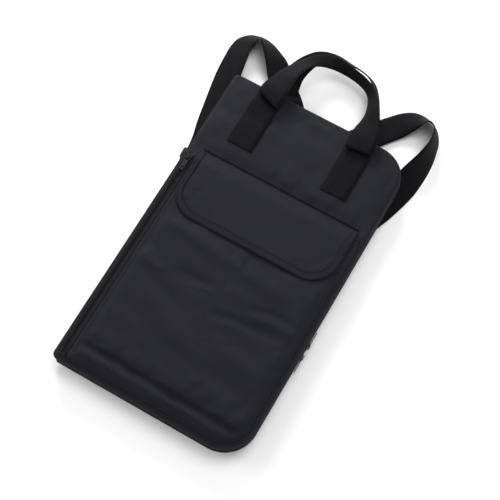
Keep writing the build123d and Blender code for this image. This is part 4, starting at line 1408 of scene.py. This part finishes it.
def sheet_over(name, x_range, y_range, counts, height, material, thickness):
    """A rectangular sheet of cloth over a height function, with thickness below it."""
    points, faces, (nx, ny) = [], [], counts
    for j in range(ny + 1):
        y = y_range[0] + (y_range[1] - y_range[0]) * j / ny
        for i in range(nx + 1):
            x = x_range[0] + (x_range[1] - x_range[0]) * i / nx
            points.append((x, y, height(x, y)))
    for j in range(ny):
        for i in range(nx):
            a = j * (nx + 1) + i
            faces.append((a, a + 1, a + nx + 2, a + nx + 1))
    return thickened(new_piece(name, points, faces, material), thickness)


# %% Stick sleeves
SLEEVES_X, SLEEVES_Y, SLEEVES_Z = reach("stick_sleeves")
SLEEVE_COUNT = 5
SLEEVE_PITCH = (SLEEVES_X[1] - SLEEVES_X[0] - 1.2) / SLEEVE_COUNT


def sleeve_height(x, y):
    """One arch over each channel, closed at the bottom end and fullest at the mouth."""
    share = ((x - SLEEVES_X[0] - 0.6) / SLEEVE_PITCH) % 1.0
    arch = max(0.0, 1 - (2 * share - 1) ** 4) ** 0.8
    mouth = ease(y, SLEEVES_Y[0], SLEEVES_Y[0] + 34)
    full = (SLEEVES_Z[1] - SLEEVES_Z[0] - 1.7) * (0.72 + 0.28 * ease(y, -60, 10))
    return SLEEVES_Z[0] + 1.5 + full * arch * mouth + 0.3 * drift(x, y, 16, 13.7) * arch


sleeves = sheet_over("sleeve_sheet", (SLEEVES_X[0] + 0.2, SLEEVES_X[1] - 0.2), SLEEVES_Y, (120, 60),
                     sleeve_height,
                     lining_cloth, 1.1)
finish_piece(sleeves, "rear_shell", "lining_fabric", "stick_sleeves")
mouth_tape = sheet_over("sleeve_mouth_tape", (SLEEVES_X[0], SLEEVES_X[1]),
                        (SLEEVES_Y[1] - 9, SLEEVES_Y[1] + 0.8), (120, 4),
                        lambda x, y: sleeve_height(x, min(y, SLEEVES_Y[1])) + 0.55, binding_cloth, 1.9)
finish_piece(mouth_tape, "rear_shell", "binding")
sleeve_lines = []
for n in range(SLEEVE_COUNT + 1):
    x = SLEEVES_X[0] + 0.6 + n * SLEEVE_PITCH
    x = min(SLEEVES_X[1] - 1.4, max(SLEEVES_X[0] + 1.4, x))
    sleeve_lines.append(line_on(sleeve_height, (x, SLEEVES_Y[0] + 3), (x, SLEEVES_Y[1] - 10), 0.15, 60))
sleeve_lines.append(line_on(sleeve_height, (SLEEVES_X[0] + 2, SLEEVES_Y[0] + 3),
                            (SLEEVES_X[1] - 2, SLEEVES_Y[0] + 3), 0.15, 120))
stitched("sleeve_stitches", sleeve_lines, "rear_shell")


# %% Inner pocket
IN_X, IN_Y, IN_Z = reach("inner_pocket")


def inner_height(x, y):
    """The inner pocket hangs below the front lining, so its height goes down where it is full."""
    rim = min(ease(x, IN_X[0], IN_X[0] + 16), ease(-x, -IN_X[1], -IN_X[1] + 16),
              ease(y, IN_Y[0], IN_Y[0] + 18))
    return IN_Z[1] - 0.2 - (IN_Z[1] - IN_Z[0] - 1.0) * rim - 0.5 * drift(x, y, 30, 15.3) * rim


inner = sheet_over("inner_pocket_sheet", IN_X, IN_Y, (80, 68), inner_height, lining_cloth, 0.8)
finish_piece(inner, "front_shell", "lining_fabric", "inner_pocket")
inner_tape = sheet_over("inner_pocket_tape", (IN_X[0], IN_X[1]), (IN_Y[1] - 9, IN_Y[1] + 0.6), (80, 4),
                        lambda x, y: inner_height(x, min(y, IN_Y[1])) + 0.4, binding_cloth, 1.7)
finish_piece(inner_tape, "front_shell", "binding")


def inner_under(x, y):
    return inner_height(x, y) - 0.95


stitched("inner_pocket_stitches", [
    line_on(inner_under, (IN_X[0] + 2.4, IN_Y[1] - 11), (IN_X[0] + 2.4, IN_Y[0] + 2.4), 0, 60),
    line_on(inner_under, (IN_X[0] + 2.4, IN_Y[0] + 2.4), (IN_X[1] - 2.4, IN_Y[0] + 2.4), 0, 60),
    line_on(inner_under, (IN_X[1] - 2.4, IN_Y[0] + 2.4), (IN_X[1] - 2.4, IN_Y[1] - 11), 0, 60)],
    "front_shell")


# %% [markdown]
# ## Hard parts
# The zips' tapes, sliders, pull tabs, rings and adjusters have their true shape in the CAD model. They
# stay, and take their finish here.

# %% Finishes for the CAD parts
KEPT = {
    zip_cloth: ["rear_zip_tape", "front_zip_tape", "side_zip_tape"],
    dark_metal: ["upper_slider", "lower_slider", "main_zip_stops", "upper_puller", "lower_puller"],
    painted_black: ["side_slider", "side_puller"],
    moulded_black: ["left_adjuster", "right_adjuster", "left_strap_ring", "right_strap_ring"],
    loop_pile: ["pocket_loop_tape"],
    hook_pile: ["flap_hook_tape"],
}
for finish, names in KEPT.items():
    for name in names:
        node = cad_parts[name]
        node.data.materials.clear()
        node.data.materials.append(finish)
print("CAD parts kept:", sum(len(names) for names in KEPT.values()))


# %% Floor and finish
FLOOR_HALF, FLOOR_DROP = 3000.0, 0.3
corners = [(-FLOOR_HALF, -FLOOR_HALF), (FLOOR_HALF, -FLOOR_HALF), (FLOOR_HALF, FLOOR_HALF),
           (-FLOOR_HALF, FLOOR_HALF)]
floor = new_piece("floor", [(x, y, -FLOOR_DROP) for x, y in corners], [(0, 1, 2, 3)], floor_white)
